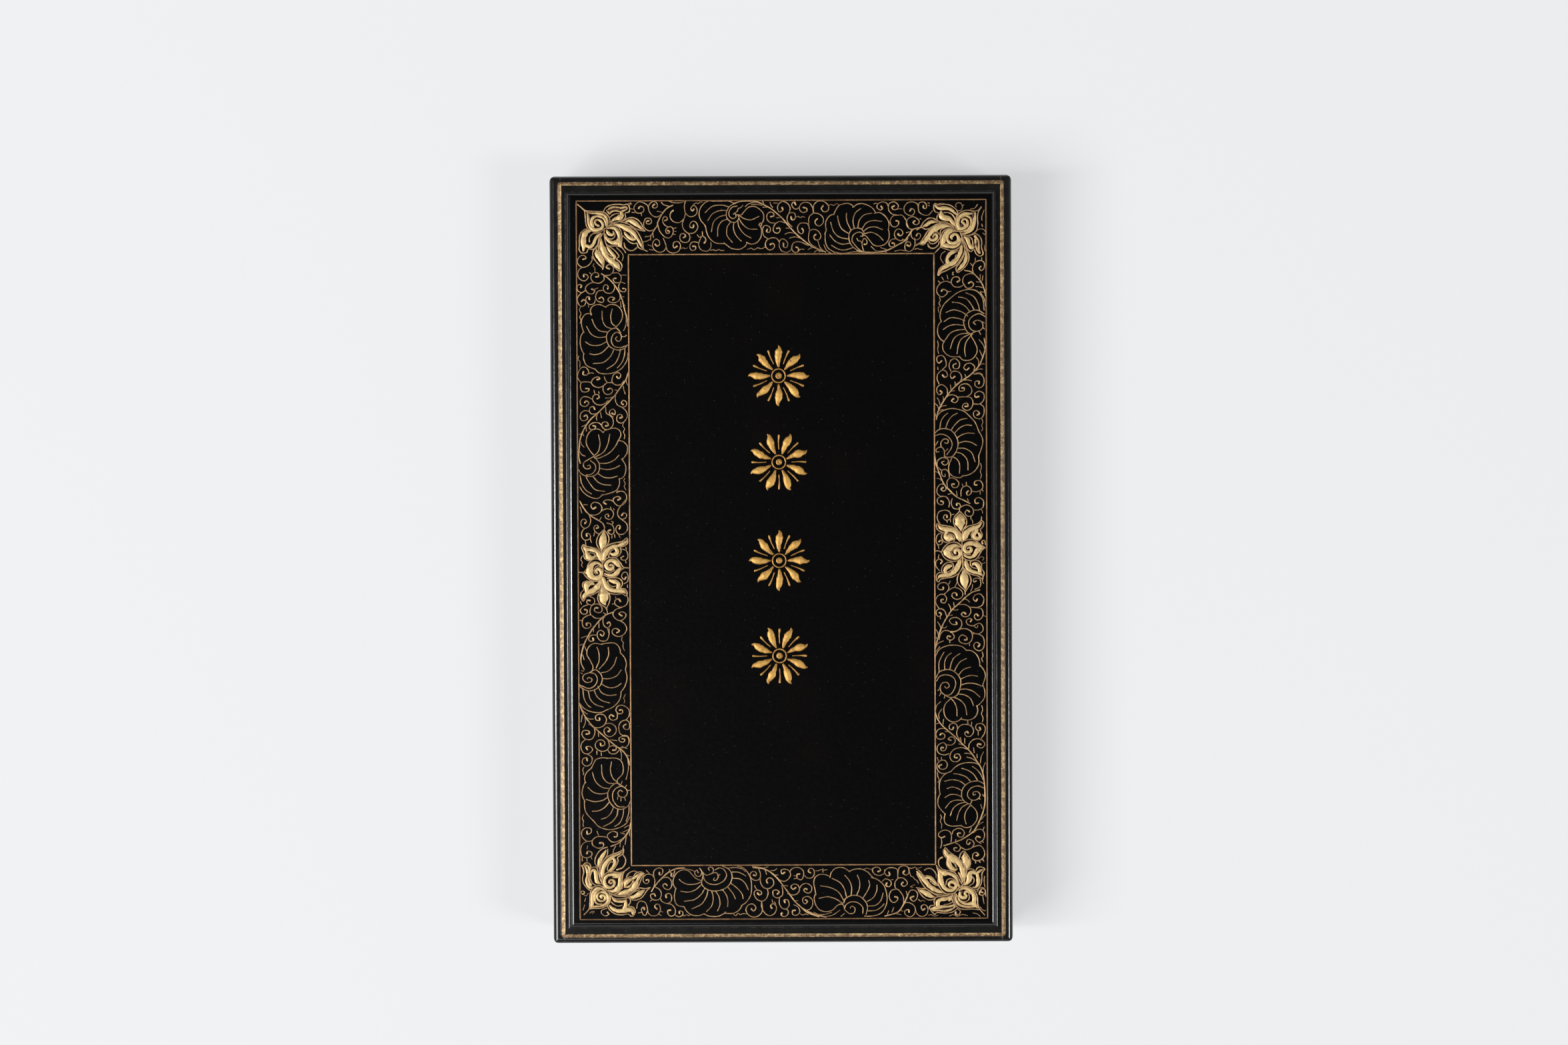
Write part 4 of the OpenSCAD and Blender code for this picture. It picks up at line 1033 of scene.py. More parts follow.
# %% Border, right side
right_curls = [
    (628, 930, -4, 20, 8, 17, 17, 7, 13, -7, 0, -17, -9, -9, -7, 9, 5, 4), (628, 930, -14, 1, -17, -8,
    -5, -16, 5, -11, 8, -11, 15, 1, 8, 11, -8, 8, -8, -4), (597, 896, -16, -8, -17, 2, -9, 13, 5, 15,
    16, 3, 7, -10, -8, -6), (555, 901, -16, 6, -19, -6, -12, -17, 2, -17, 14, -11, 15, 9, 2, 10, -13,
    6, -5, -6), (526, 621, 11, 11, -1, 19, -10, 14, -16, -2, -3, -13, 7, -9, 8, 7), (553, 615, -6, 17,
    6, 18, 15, 5, 13, -13, -3, -17, -14, -2, -4, 11, 9, 5), (628, 617, 2, 13, -12, 10, -15, -2, -8,
    -12, 8, -8, 8, 6), (514, 574, -6, 15, 2, 16, 14, 13, 13, -4, 5, -13, -9, -6, -7, 7), (566, 570,
    17, 11, 5, 16, -10, 15, -18, 2, -9, -11, 5, -12, 9, 6), (541, 537, 0, 18, -8, 11, -13, 5, -12, -9,
    -1, -13, 7, -11, 10, 7, -6, 6), (628, 605, 21, 0, 12, -16, -3, -21, -13, -8, -13, 8, 1, 13, 12, 0,
    -1, -7), (603, 531, 15, 10, 3, 15, -11, 15, -17, 2, -13, -9, 1, -13, 14, 0, 1, 9, -7, 0), (530,
    520, 11, 13, 15, 5, 15, -5, 5, -11, -10, -10, -11, 6, 6, 7), (574, 530, 29, 1, 15, -3, 7, -16, -7,
    -19, -15, -6, -13, 10, 5, 11, 11, 2, 2, -9, -8, -1), (626, 508, 21, 0, 13, 14, 0, 19, -15, 8, -14,
    -8, 2, -11, 10, 2), (647, 508, 13, -11, 0, -23, -11, -14, -18, 4, -5, 14, 9, 9, 11, -9, -7, -6),
    (541, 239, -2, 16, 10, 12, 17, -3, 12, -13, -6, -14, -14, 0, -3, 10, 7, 0), (520, 206, -12, 10,
    -1, 17, 11, 14, 14, -3, 4, -13, -8, -7, -8, 7, 6, 5), (545, 172, 2, 17, -10, 16, -17, 2, -12, -8,
    2, -15, 14, -4, 3, 9, -7, 3), (585, 208, 0, 16, 6, 13, 15, 4, 12, -10, 0, -13, -10, -8, -5, 8, 5,
    6), (618, 224, 19, -2, 16, 8, 3, 15, -9, 13, -16, -2, -2, -11, 7, -1), (658, 174, 0, 19, -15, 10,
    -12, -6, 1, -12, 9, 0), (556, 200, -3, -15, 7, -16, 16, -3, 7, 9, -4, 9, -8, 0, 0, -5), (578, 165,
    11, 10, 16, 4, 15, -8, 6, -13, -6, -14, -15, -1, -7, 11, 7, 8, 7, -5), (516, 119, -6, 8, -3, 13,
    5, 16, 16, 6, 15, -2, 8, -10, -2, -15, -12, -6, -9, 7, 2, 10, 8, 0, 1, -7), (522, 88, -13, -5, -6,
    -16, 4, -15, 11, -2, 6, 8, -6, 7, -5, -5), (514, -35, -11, 14, 0, 17, 11, 7, 9, -7, -5, -7), (665,
    49, -4, 14, -8, -3, 2, -7), (630, -96, 15, 7, 4, 14, -4, 13, -13, 2, -8, -5, 3, -7, 6, 3), (541,
    -100, 4, 11, -10, 14, -17, 0, -10, -10, 4, -11, 14, 0, 0, 7), (530, -111, 15, 13, 17, 8, 19, -6,
    9, -14, -5, -13, -15, -6, -14, 8, 0, 12, 12, 1, 2, -7), (512, -158, -11, 19, 4, 18, 13, 9, 13, -3,
    6, -12, -6, -13, -11, 2, -1, 8, 6, 1), (537, -185, -6, 18, -13, 8, -13, -5, -2, -13, 9, -8, 8, 9,
    -6, 4), (580, -146, 17, 0, 15, -9, 4, -14, -8, -14, -15, -2, -8, 8, 8, 6, 6, -5), (610, -154, 25,
    -2, 16, -4, 5, -17, -7, -15, -14, -4, -8, 11, 6, 9, 7, -6), (635, -156, 18, 8, 6, 19, -4, 10, -10,
    8, -15, -4, -6, -12, 9, -8, 4, 7), (572, -231, 13, 14, 0, 17, -13, 11, -17, 0, -9, -9, 9, -12, 15,
    0, -2, 7), (656, -221, -5, 10, -10, 4, -17, -8, -18, 4, -5, 11, 7, 8, 11, -2, -4, -7), (656, -220,
    -1, -12, -16, -10, -21, 7, -13, 9, -20, 1, -19, -8, -15, -2), (605, -226, 13, -9, 3, -18, -7, -15,
    -15, -6, -18, 6, -4, 13, 10, 10, 14, -6, 2, -9, -7, -1), (512, -260, 4, 17, 12, 12, 19, -2, 13,
    -12, 0, -11, -11, -6, -11, 6, 3, 8, 7, -2), (624, -241, 15, -1, 16, -9, 5, -19, -4, -19, -13, -8,
    -15, 8, -2, 13, 9, 7, 10, -7, -5, -7), (572, -553, -3, 14, -11, 6, -12, -6, -1, -12, 10, -3, 3,
    7), (578, -587, -9, 17, 3, 19, 13, 12, 20, 1, 15, -9, 4, -15, -10, -14, -13, 0, -6, 10, 8, 6, 3,
    -5), (649, -583, 11, 17, 2, 19, -11, 12, -16, -2, -4, -12, 8, -9, 8, 4, -3, 6), (608, -616, 2, 15,
    14, 14, 19, 2, 15, -10, 2, -11, -11, -9, -13, 7, 3, 7, 8, -2), (530, -551, -16, 0, -11, -9, -2,
    -14, 9, -11, 16, 2, 4, 11, -10, 6, -5, -5), (535, -604, 18, 0, 11, 11, -4, 12, -11, 3, -8, -7, 8,
    -4), (543, -633, -15, -4, -18, 6, -6, 15, 6, 13, 16, 6, 9, -11, -5, -14, -12, 0, 0, 10, 6, -1),
    (601, -618, -16, 5, -23, -5, -13, -13, -2, -16, 9, -11, 16, 0, 9, 11, -5, 12, -12, 0, -3, -10, 8,
    -1), (551, -690, -18, -7, -17, 1, -11, 12, 0, 17, 11, 12, 15, -1, 7, -13, -7, -13, -15, -1, -6,
    10, 8, 4), (622, -892, 13, 10, 16, 0, 8, -14, -4, -19, -14, -8, -11, 10, 5, 9, 9, -3), (597, -948,
    19, 6, 9, 14, -7, 11, -13, 3, -5, -11, 6, -6, 5, 6), (553, -896, 3, 10, 14, 8, 15, -2, 8, -12, -6,
    -13, -13, 0, -3, 11, 8, 1), (549, -923, 2, 19, -6, 16, -17, 5, -16, -7, -4, -11, 10, -7, 10, 4),
    (564, -925, 12, -7, 4, -10, -6, -10, -13, 1, -2, 9, 8, 1), (576, -934, 13, -10, 16, -3, 19, 9, 19,
    4, 13, -12, 3, -19, -10, -15, -18, -3, -11, 8, 2, 14, 11, 4, 6, -8, -7, -2), (533, -1015, -15, 6,
    -10, 15, 2, 15, 10, 7), (663, -1100, -3, 20, -10, 4, -4, -8, 6, -4),
]
right_lines = [
    (535, 1004, -11, -8, -4, -14, 10, -17), (634, 982, -1, -10), (655, 983, -1, -8), (618, 965, 4, -5,
    4, -6), (637, 905, 15, -2), (649, 928, 1, -12), (658, 925, -2, -16), (635, 889, 11, 0, 12, -4),
    (649, 873, 13, -2), (559, 936, 3, -9), (563, 937, -5, -8), (541, 927, 3, -12), (524, 920, 6, -9),
    (541, 873, 12, 1), (512, 908, 6, -5), (516, 855, 3, -9, -4, -10, 4, -10, -7, -4, 2, -16), (645,
    717, 13, -16, 7, -19), (647, 682, 9, -20), (637, 659, 7, -12, -1, -12), (662, 638, -8, 0, -11,
    -8), (656, 621, -11, 0, -10, -5), (510, 713, 2, -13, -2, -14, 3, -14), (510, 628, 1, -8), (628,
    606, 16, 3, 12, -6), (599, 604, 4, -11), (597, 586, 13, 0, 10, -3), (566, 580, 3, -14), (551, 549,
    13, 2), (551, 570, 3, -16), (527, 532, 2, -12), (508, 528, 6, -10, 3, -13), (501, 510, 8, -8, 4,
    -11), (512, 493, 12, 8, 13, 2), (512, 485, 10, 4, 9, 0), (499, 481, 5, -11, 2, -11), (654, 458, 3,
    -10, -4, -10, 3, -10, -3, -8), (649, 314, 3, -12, -4, -14, 4, -12, -4, -12), (501, 289, 12, -7, 7,
    -17), (507, 266, 9, -2, 8, -8), (543, 214, 11, 2, 12, -5), (570, 224, 2, -17), (589, 247, 3, -8),
    (602, 253, 1, -10), (653, 230, 4, -6), (647, 222, 1, -8), (606, 199, 3, -8), (510, 387, -8, -13),
    (535, 355, 7, 7), (626, 163, 13, -1, 10, 3, 6, -7, 0, -6), (649, 165, 7, 6, 2, 8), (550, 146, 11,
    3), (537, 129, 3, -6), (549, 134, 2, -10), (618, 142, -1, -8, 5, -6, 1, -9), (507, 52, 4, -8, 1,
    -7), (520, 25, -10, 5, -10, -1), (649, 42, 9, -3, 10, 1), (512, 17, -2, -11), (641, 4, 10, 6, 8,
    -4, -4, -8), (653, -13, 9, 4), (622, -81, -1, -9, -5, -12), (656, -62, -2, -8, 4, -7), (593, -127,
    11, -3, 8, -8), (543, -144, 6, -10, 2, -13), (560, -139, 2, -15), (556, -162, 10, -2, 8, 2), (543,
    -182, 12, 2), (507, -202, 8, -12, 3, -13), (522, -221, 9, -1, 6, 5), (501, -227, 7, -9, 3, -9),
    (516, -185, 0, -7), (655, -181, 11, -4), (549, -69, -5, -10), (571, -73, -7, -16), (624, -215, 11,
    -7, 4, 7), (611, -270, 1, -10), (547, -262, 0, -8), (501, -226, 6, -9, 3, -12), (501, -251, 6,
    -9), (499, -288, 10, 16, 17, 8), (501, -299, 13, 16), (653, -301, 3, -13, -5, -8, 4, -11), (651,
    -476, 3, -14, -4, -13, 5, -13, -2, -14), (499, -495, 4, 19, 13, 13), (512, -518, -2, 15, 10, 16),
    (524, -537, 2, 17), (503, -535, 9, 3, 8, -7), (605, -526, 1, -9), (618, -530, -1, -11), (581,
    -580, 2, -13), (595, -583, 0, -16), (531, -560, 14, -2), (576, -601, 13, -4), (595, -632, 11, 0,
    11, -3), (603, -645, 11, -2, 12, -7), (635, -635, 1, -12), (624, -614, 2, -16), (656, -628, -7,
    -15, -3, -21), (505, -645, 3, -10), (518, -645, 1, -8), (639, -558, 0, -15), (505, -694, 2, -14,
    4, -10, -4, -9), (515, -832, 3, -10, -4, -12, 5, -11, -1, -13), (516, -906, 3, -17, -4, -19),
    (603, -644, 21, -8, 15, -13), (662, -663, -6, -15, -1, -15), (647, -800, 4, -13), (662, -832, -13,
    -16), (655, -857, -9, -5, -9, -7), (616, -876, -6, -14), (654, -885, 4, 12), (641, -923, 6, -5),
    (651, -918, 4, -6), (564, -925, 1, 11), (630, -983, 0, -9), (641, -982, 4, -8), (653, -978, 4,
    -8), (658, -1036, 0, -27),
]
right_stems = [
    (599, 942, 21, -5, 19, -16, 14, -18, 9, -21, 6, -23), (662, 721, 4, -27, -8, -31, -15, -33, -27,
    -28, -19, -13, -23, -17, -23, -23, -21, -29, -18, -33, -7, -29), (498, 350, 5, -34, 13, -38, 14,
    -31, 17, -19, 23, -22, 23, -11, 21, -11), (645, -98, -23, -7, -21, -15, -21, -20, -24, -21, -17,
    -24, -13, -23, -10, -23, -11, -35, -6, -23), (499, -497, 6, -19, 15, -23, 23, -21, 21, -18, 21,
    -21, 20, -19, 17, -20, 13, -21, 12, -18, 8, -24, 4, -31, 2, -35, -1, -31, -7, -30, -14, -33, -15,
    -25, -19, -15, -23, -14, -27, -10, -29, -9),
]
shell_right_1 = [
    (662, 813, -4, 35, -15, 23, -21, 9, -25, -2, -23, -9, -26, -20), (650, 870, 13, -22, 4, -23),
    (550, 851, -19, -19, -11, -23, -2, -19, 4, -15), (522, 778, -10, -15, -2, -23, 8, -19, 14, -11),
    (532, 714, -6, -16, 5, -20, 20, -15, 32, -2), (580, 663, 13, -12, 23, 0, 17, 14, 6, 21, -8, 23,
    -11, 19, 3, 8), (662, 801, -19, 11, -21, -1, -19, -13, -8, -23, 6, -24, 11, -13, 12, -4), (668,
    790, -21, 11, -21, -7, -14, -16, 2, -21, 14, -12, 19, 1, 11, 13, -5, 16, -14, 5, -12, -7, 7, -7),
    (655, 775, 7, -4), (658, 756, 5, -5), (645, 744, 5, -10), (635, 744, -15, -8, -2, -7), (647, 813,
    -6, 23, -13, 21, -25, 12), (630, 813, -12, 21, -15, 16, -25, 6), (616, 807, -15, 18, -20, 11, -23,
    3), (608, 794, -19, 13, -27, 7, -24, -8), (599, 778, -21, 8, -27, 2, -20, -12), (595, 763, -25, 3,
    -23, -4, -19, -12), (600, 750, -26, -2, -23, -10, -16, -21), (608, 738, -27, -4, -19, -15, -11,
    -31), (613, 734, -24, -13, -11, -20, -5, -30), (618, 730, -15, -21, -5, -23, 3, -23),
]
shell_right_2 = [
    (508, 470, 16, 15, 27, 8, 23, -2, 23, -8, 18, -16), (613, 469, 18, -20, 8, -18, 6, -15), (643,
    420, 12, -23, 0, -23, -13, -38), (643, 340, 0, -28, -12, -21, -19, -13, -23, -5), (593, 275, -12,
    -7, -21, 4, -13, 13, -2, 21, 11, 29), (499, 412, 13, 12, 19, 4, 22, -6, 15, -17, 8, -24, -6, -26,
    -14, -18, -17, -2, -9, 4), (501, 405, 19, 5, 21, -7, 14, -18, -1, -19, -15, -23), (531, 337, -1,
    21, -10, 10, -15, -6, 0, -10, 8, 1), (520, 369, 0, 14, 10, 11, 13, -3, -2, -11, -9, 2), (520, 293,
    -12, 12, 0, 17, 14, 11, 19, -3, 2, -14, -12, -7, -9, 9, 8, 4), (547, 270, -2, 15, -10, 10, -13,
    -4, 2, -16, 9, -3, 0, 8), (516, 426, 4, 25, 10, 17, 12, 10), (535, 428, 8, 23, 13, 17, 17, 10),
    (553, 423, 13, 18, 17, 15, 22, 5), (565, 414, 16, 16, 20, 9, 19, -1), (573, 398, 16, 10, 19, 5,
    20, -1), (577, 380, 20, 6, 21, -3, 18, -10), (574, 364, 23, -1, 23, -14, 11, -29), (568, 351, 21,
    -6, 17, -21, 2, -31), (558, 337, 16, -11, 7, -18, -1, -26),
]
shell_right_3 = [
    (499, -316, 13, 23, 23, 12, 23, 3, 27, -4, 18, -14), (600, -295, 18, -2, 17, -13, 9, -20, 1, -17),
    (645, -343, 13, -17, 5, -21, -10, -31), (655, -409, 6, -19, -1, -21, -11, -17, -15, -13), (635,
    -476, 3, -17, -8, -19, -20, -11, -29, 3), (585, -516, -13, -11, -21, -1, -18, 14, -6, 21, 4, 21,
    18, 19), (501, -385, 11, 19, 21, 8, 20, -2, 17, -12, 12, -19, -1, -25, -9, -23, -16, -10, -15, 2,
    -11, 7), (503, -395, 11, 15, 19, 5, 22, -6, 11, -18, -4, -21, -13, -19, -17, -2, -14, 11, -3, 16,
    9, 13, 15, 0, 6, -11, -9, -7, -6, 6), (516, -418, -8, -8), (518, -433, -5, -10), (531, -441, -3,
    -10), (512, -365, -1, 26, 7, 21, 10, 17), (530, -358, 0, 23, 7, 19, 14, 12), (547, -358, 4, 19, 9,
    19, 20, 14), (562, -363, 9, 18, 12, 14, 18, 9), (576, -375, 13, 15, 14, 7, 12, 3), (585, -388, 18,
    8, 17, 3, 17, -3), (585, -408, 18, 5, 25, -1, 25, -9), (581, -423, 20, 1, 23, -8, 21, -18), (575,
    -438, 20, -3, 19, -12, 10, -23), (562, -449, 21, -11, 14, -18, 5, -28), (551, -453, 11, -13, 7,
    -19, 1, -25),
]
shell_right_4 = [
    (641, -669, -17, 6, -27, 0, -21, -6, -16, -11, -11, -12), (550, -691, -20, -9, -14, -17, -5, -23,
    3, -26), (514, -763, -7, -19, 2, -23, 21, -26), (530, -829, -3, -19, 6, -15, 20, -7, 30, 2), (580,
    -868, 17, -7, 19, 4, 15, 16, 5, 19, -6, 19, -16, 16), (658, -732, -19, 9, -23, -2, -19, -11, -11,
    -17, -1, -22, 10, -15, 17, -8, 6, 12), (658, -746, -19, 7, -21, -5, -13, -15, 1, -17, 16, -10, 17,
    6, 6, 13, -10, 10, -13, -3, 2, -9, 6, 3), (653, -767, 5, -6), (641, -780, 4, -2), (655, -719, -8,
    18, -12, 15, -15, 11), (636, -719, -12, 18, -18, 13, -21, 7), (613, -723, -14, 14, -21, 8, -19,
    3), (595, -734, -17, 11, -25, 5, -23, -5), (586, -755, -16, 9, -17, 4, -16, -5), (583, -773, -17,
    6, -19, 0, -17, -9), (587, -786, -21, 1, -19, -7, -16, -19), (595, -792, -21, -6, -18, -15, -9,
    -23), (603, -798, -18, -11, -11, -19, -6, -23), (612, -803, -13, -18, -5, -21, 5, -21),
]
lay_border("right", right_curls, right_lines, right_stems,
           [shell_right_1, shell_right_2, shell_right_3, shell_right_4])


# %% [markdown]
# A lotus sits at each corner and in the middle of each long side. Its petals are laid on thick in
# pale gold, with the brush pressed and lifted, so each petal is a stroke whose width is given at
# every point, after its step right and up, again in tenths of a millimetre. A thin line then runs
# round all the petals, with black left between.

# %% Lotus tool
PRESS = 1.12
THINNEST = 0.3
PETAL_LINE = (0.42, 0.38)


def lay_lotus(place, petals, outline):
    """One lotus: broad petal strokes, and the thin line round them."""
    strokes = []
    for row in petals:
        places = walk(row[0::3], row[1::3])
        widths = [max(THINNEST, PRESS * width / TENTHS) for width in row[2::3]]
        strokes.append([(x, y, width) for (x, y), width in zip(places, widths)])
    lay_strokes(f"lotus_{place}_petals", strokes, petal_section, petal_gold, panel_top)
    strokes = [brush(row, *PETAL_LINE) for row in outline]
    lay_strokes(f"lotus_{place}_outline", strokes, line_section, line_gold, panel_top)


# %% Lotus, top corners: top left
top_left_petals = [
    (-636, 1139, 4, 15, -6, 6, 22, -1, 7, 19, -4, 8, 11, -11, 7, 4, -16, 6, -4, -11, 4), (-632, 1135,
    4, 3, -15, 7, 1, -17, 8, 6, -15, 10, 12, -9, 11, 15, 0, 10, 11, 6, 9, 3, 10, 8, -5, 10, 8, -10, 6,
    7, -9, -2, 7, -2, -7, 7, 5, -7, 6, 6, -3, 8), (-614, 1089, 10, -4, 13, 12, 2, 12, 10, 9, 7, 8, 15,
    1, 8, 14, -7, 8, 7, -14, 7, 1, -11, 4), (-567, 1083, 4, 12, 2, 8, 13, -2, 10, 10, -12, 11, 4, -16,
    11, -2, -13, 15, 4, -14, 10, 4, -7, 3), (-569, 1077, 4, 4, -7, 11, 6, -6, 12, 8, -2, 9, 5, 5, 5,
    -2, 7, 3), (-576, 1062, 5, 6, -11, 9, 10, -10, 11, 12, -5, 12, 13, 1, 15, 8, -7, 10, 5, -8, 3),
    (-510, 1102, 3, 14, 6, 10, 13, -4, 14, 14, -10, 12, 11, -9, 10, 7, -7, 4), (-546, 1097, 4, 16, -3,
    10, 17, -6, 15, 17, -9, 15, 14, -11, 14, 9, -12, 10, 8, -12, 8, 7, -13, 8, 6, -13, 3), (-510,
    1069, 6, 6, -8, 9, 10, -9, 10, 11, -5, 10, 8, 3, 8, 1, 7, 7), (-587, 1049, 4, 2, -19, 12, 7, -22,
    14, 11, -19, 14, 17, -14, 16, 16, -14, 14, 7, -12, 4), (-567, 1023, 6, 8, -12, 9, 9, -11, 9, 7,
    -9, 9, -3, -7, 8), (-602, 1017, 4, 2, -14, 16, 7, -13, 18, 7, -14, 11, 4, -14, 3), (-623, 1076, 7,
    -12, -5, 14, -8, -13, 17, -2, -18, 16, 1, -14, 15, -1, -14, 7), (-636, 1028, 8, 13, -5, 10, 10, 9,
    9, 7, 16, 9, 8, 11, 10, 10, 7, 5), (-566, 1140, 5, 10, 9, 6, 16, 3, 6, 18, -3, 6, 17, 3, 6, 2, -6,
    5, -11, -6, 6, -7, -5, 9, 2, -9, 12, -7, -8, 15, -14, -4, 13, -10, -6, 8, -3, -6, 4), (-567, 1141,
    5, 8, -10, 7, 6, 6, 6, 11, 3, 5, 12, -1, 5, 7, -4, 5),
]
top_left_outline = [
    (-662, 1160, 13, -10, 11, -9, 17, -2, 22, -1, 21, -2, 13, -10, 7, -14, 0, -12), (-663, 1161, 15,
    -13, 7, -7, 3, -20, 1, -18, 5, -16, 13, -11, 11, -5, 16, 0, 9, 5, 10, 7, 11, 9, 16, 9, 20, 4),
    (-569, 1085, 11, 7, 14, 1, 14, -6, 8, -13, 3, -16, -1, -18, 0, -16, 8, -12, 5, -8), (-574, 1065,
    9, -14, 14, -2, 9, 9, -1, 11), (-576, 1076, -1, -12, 7, -32, 15, -6, 15, 0, 15, -2), (-526, 1105,
    16, 5, 14, 7, 16, 0, 15, -8, 12, -15, 4, -14, 5, -6), (-522, 1104, 14, -3, 16, -7, 16, -11, 16,
    -6, 16, -3), (-513, 1076, 10, 0, 11, -9, 8, -13), (-492, 1090, 21, -16, 13, -21, 7, -20, 3, -18,
    12, -7), (-515, 1058, 10, -9, 13, -12, 14, -4, 8, 2, 5, -14, 15, -8), (-512, 1035, 4, -14, 14,
    -10, 14, 1, 9, 8), (-574, 1021, 7, -16, 12, -11, 7, -3), (-569, 1029, 20, -12, 14, -14, 6, -11,
    -8, -8, 11, -10, 7, -12, -4, -13, -5, -5, -12, 10, -18, 15, -16, 16, -11, 20, -8, 23, 1, 18, 10,
    20), (-598, 1030, -12, -15, -5, -14, 5, -16, 14, -18, 11, -9, 3, -8), (-597, 1028, 3, -16, 9, -18,
    7, -14, -1, -15, -3, -15), (-625, 1040, 0, 13, 10, 12, 14, 3, 11, 0), (-626, 1082, -16, -3, -12,
    -12, -4, -18, 0, -21, -1, -13, 8, -11, 16, 1, 6, 12, 10, -2, 14, 3, 7, 12, 4, 20, 10, 17), (-578,
    1140, 7, 11, 18, 8, 23, 2, 18, -2, 12, 2, 6, -10, -1, -14, -13, -5, 1, -13, -10, -11, -18, -4,
    -15, -6, -14, -9), (-557, 1119, 8, 7, 12, 5, 8, -1),
]
lay_lotus("top_left", top_left_petals, top_left_outline)


# %% Lotus, top corners: top right
top_right_petals = [
    (634, 1129, 4, -17, -3, 7, -18, 0, 9, -14, -7, 10, -7, -14, 10, -1, -15, 11, 6, -12, 11, 12, 1,
    10, 11, 9, 9, 3, 12, 8, -6, 8, 7, -9, -1, 7, -4, -8, 7, 6, -4, 8, 4, -6, 7), (634, 1127, 4, -2,
    -14, 8, -2, -16, 10, -5, -17, 10, -10, -11, 9, -15, -7, 7, -14, -1, 4), (589, 1112, 4, 9, 7, 6,
    11, -1, 7, 10, -8, 8, 2, -13, 8, -4, -14, 8, -9, -10, 8, -15, -4, 6, -10, -1, 4), (522, 1023, 4,
    7, 12, 14, 3, 17, 12, 7, 15, 10, 13, 7, 7, 16, -1, 4), (522, 1022, 5, 15, 1, 13, 16, -4, 11, 16,
    1, 10, 12, 10, 8, 5, 14, 6), (577, 1069, 4, -14, 1, 6, -13, -5, 8, -7, -11, 8, 0, -13, 8, 8, -9,
    9, 12, -2, 10, 11, 5, 10, 5, 10, 10, -3, 10, 10, -8, 5, 10, -9, -4, 9, -4, -7, 8, 2, -4, 6), (503,
    1153, 6, 12, -9, 10, 20, 0, 12, 18, -4, 10, 14, -11, 8, 7, -6, 5), (522, 1132, 8, 3, -15, 17, 12,
    -5, 18, 14, -4, 14, 10, -12, 10, 8, -10, 6, 7, -12, 4), (461, 1084, 3, 13, 6, 11, 13, 9, 12, 14,
    1, 8, 11, -1, 3), (558, 1083, 4, -18, 4, 10, -19, -2, 15, -18, -7, 17, -13, -11, 13, -10, -14, 12,
    -11, -15, 13, -14, -9, 5), (482, 1049, 7, 8, -8, 8, 11, 1, 9, 8, 10, 9, -4, 8, 8, -6, -2, 7, -3,
    -7, 5), (590, 1021, 6, -5, -18, 12, -8, -19, 12, -12, -15, 13, -19, -9, 14, -16, -9, 10, -12, -12,
    7, -3, -10, 3), (545, 966, 9, -3, 14, 10, 7, 14, 11, 13, 8, 10, 10, 1, 4), (603, 1006, 4, 1, -19,
    9, -5, -18, 11, -12, -16, 10, -11, -11, 4), (598, 1051, 5, 10, -8, 12, 5, -15, 13, 8, -12, 13, 8,
    2, 5), (633, 1053, 8, 10, -13, 6, 2, -14, 6, 0, -16, 7, 3, -11, 8), (634, 1043, 6, 1, -19, 6, 5,
    -16, 6, 6, -10, 5),
]
top_right_outline = [
    (653, 1148, -8, -10, -15, -4, -15, 3, -16, -1, -16, -7, -9, -12, -4, -16, 4, -16), (653, 1146, -7,
    -9, -4, -13, -1, -16, 1, -18, -5, -19, -13, -11, -19, -5, -15, 3), (576, 1078, -23, 1, -18, -5,
    -11, -14, -3, -20, 1, -14, -4, -9, -15, -16), (522, 1017, 15, -5, 16, -5, 16, 2, 14, 9, 8, 13, -3,
    27, -10, 16), (532, 1130, 12, 0, 14, -6, 9, -14, 2, -16), (571, 1113, 5, 19, -9, 12, -16, 10, -18,
    3, -18, -2, -14, 4, -3, -13, 5, -13, 12, -5, -6, -11, 1, -10, 7, -7, 18, -1, 14, -5, 15, -12),
    (455, 1082, 10, 17, 15, 12, 16, 1, 14, -8), (443, 1074, 15, 8, 13, -6, 16, 4, 16, 10, 16, 6),
    (488, 1055, 7, 11, 13, 2, 8, -8), (562, 1085, -13, 8, -19, 1, -20, -2, -18, -9, -14, -14, -13,
    -20, -14, -19, -16, -9), (452, 1028, 13, -2, 15, 14, 7, -10, 14, 0, 11, 10, 7, 11, 0, 11, 3, 12,
    13, 7), (516, 1035, -4, -11, -11, -9, -14, 1, -8, 10), (558, 974, 9, 6, 4, 12), (575, 1006, -20,
    -4, -13, -11, -6, -15, 2, -11, -14, -10, -9, -11, -3, -18, 10, 9, 13, 5, 18, 9, 18, 11, 12, 14,
    11, 18, 5, 20, -6, 32, -7, 16), (601, 1017, 9, -16, 3, -16, -4, -18, -13, -18, -20, -13, -5, 15,
    12, 16, 11, 18, 6, 21), (611, 1052, 10, -6, 4, -11, 1, -14), (588, 1059, 20, -5, 13, 3, 14, 4, 14,
    -10, 6, -16, -1, -18, 5, -21, -10, -8, -13, 8, -6, 14, -11, -7, -11, 9, -5, 14, -7, 14, -8, 19),
]
lay_lotus("top_right", top_right_petals, top_right_outline)


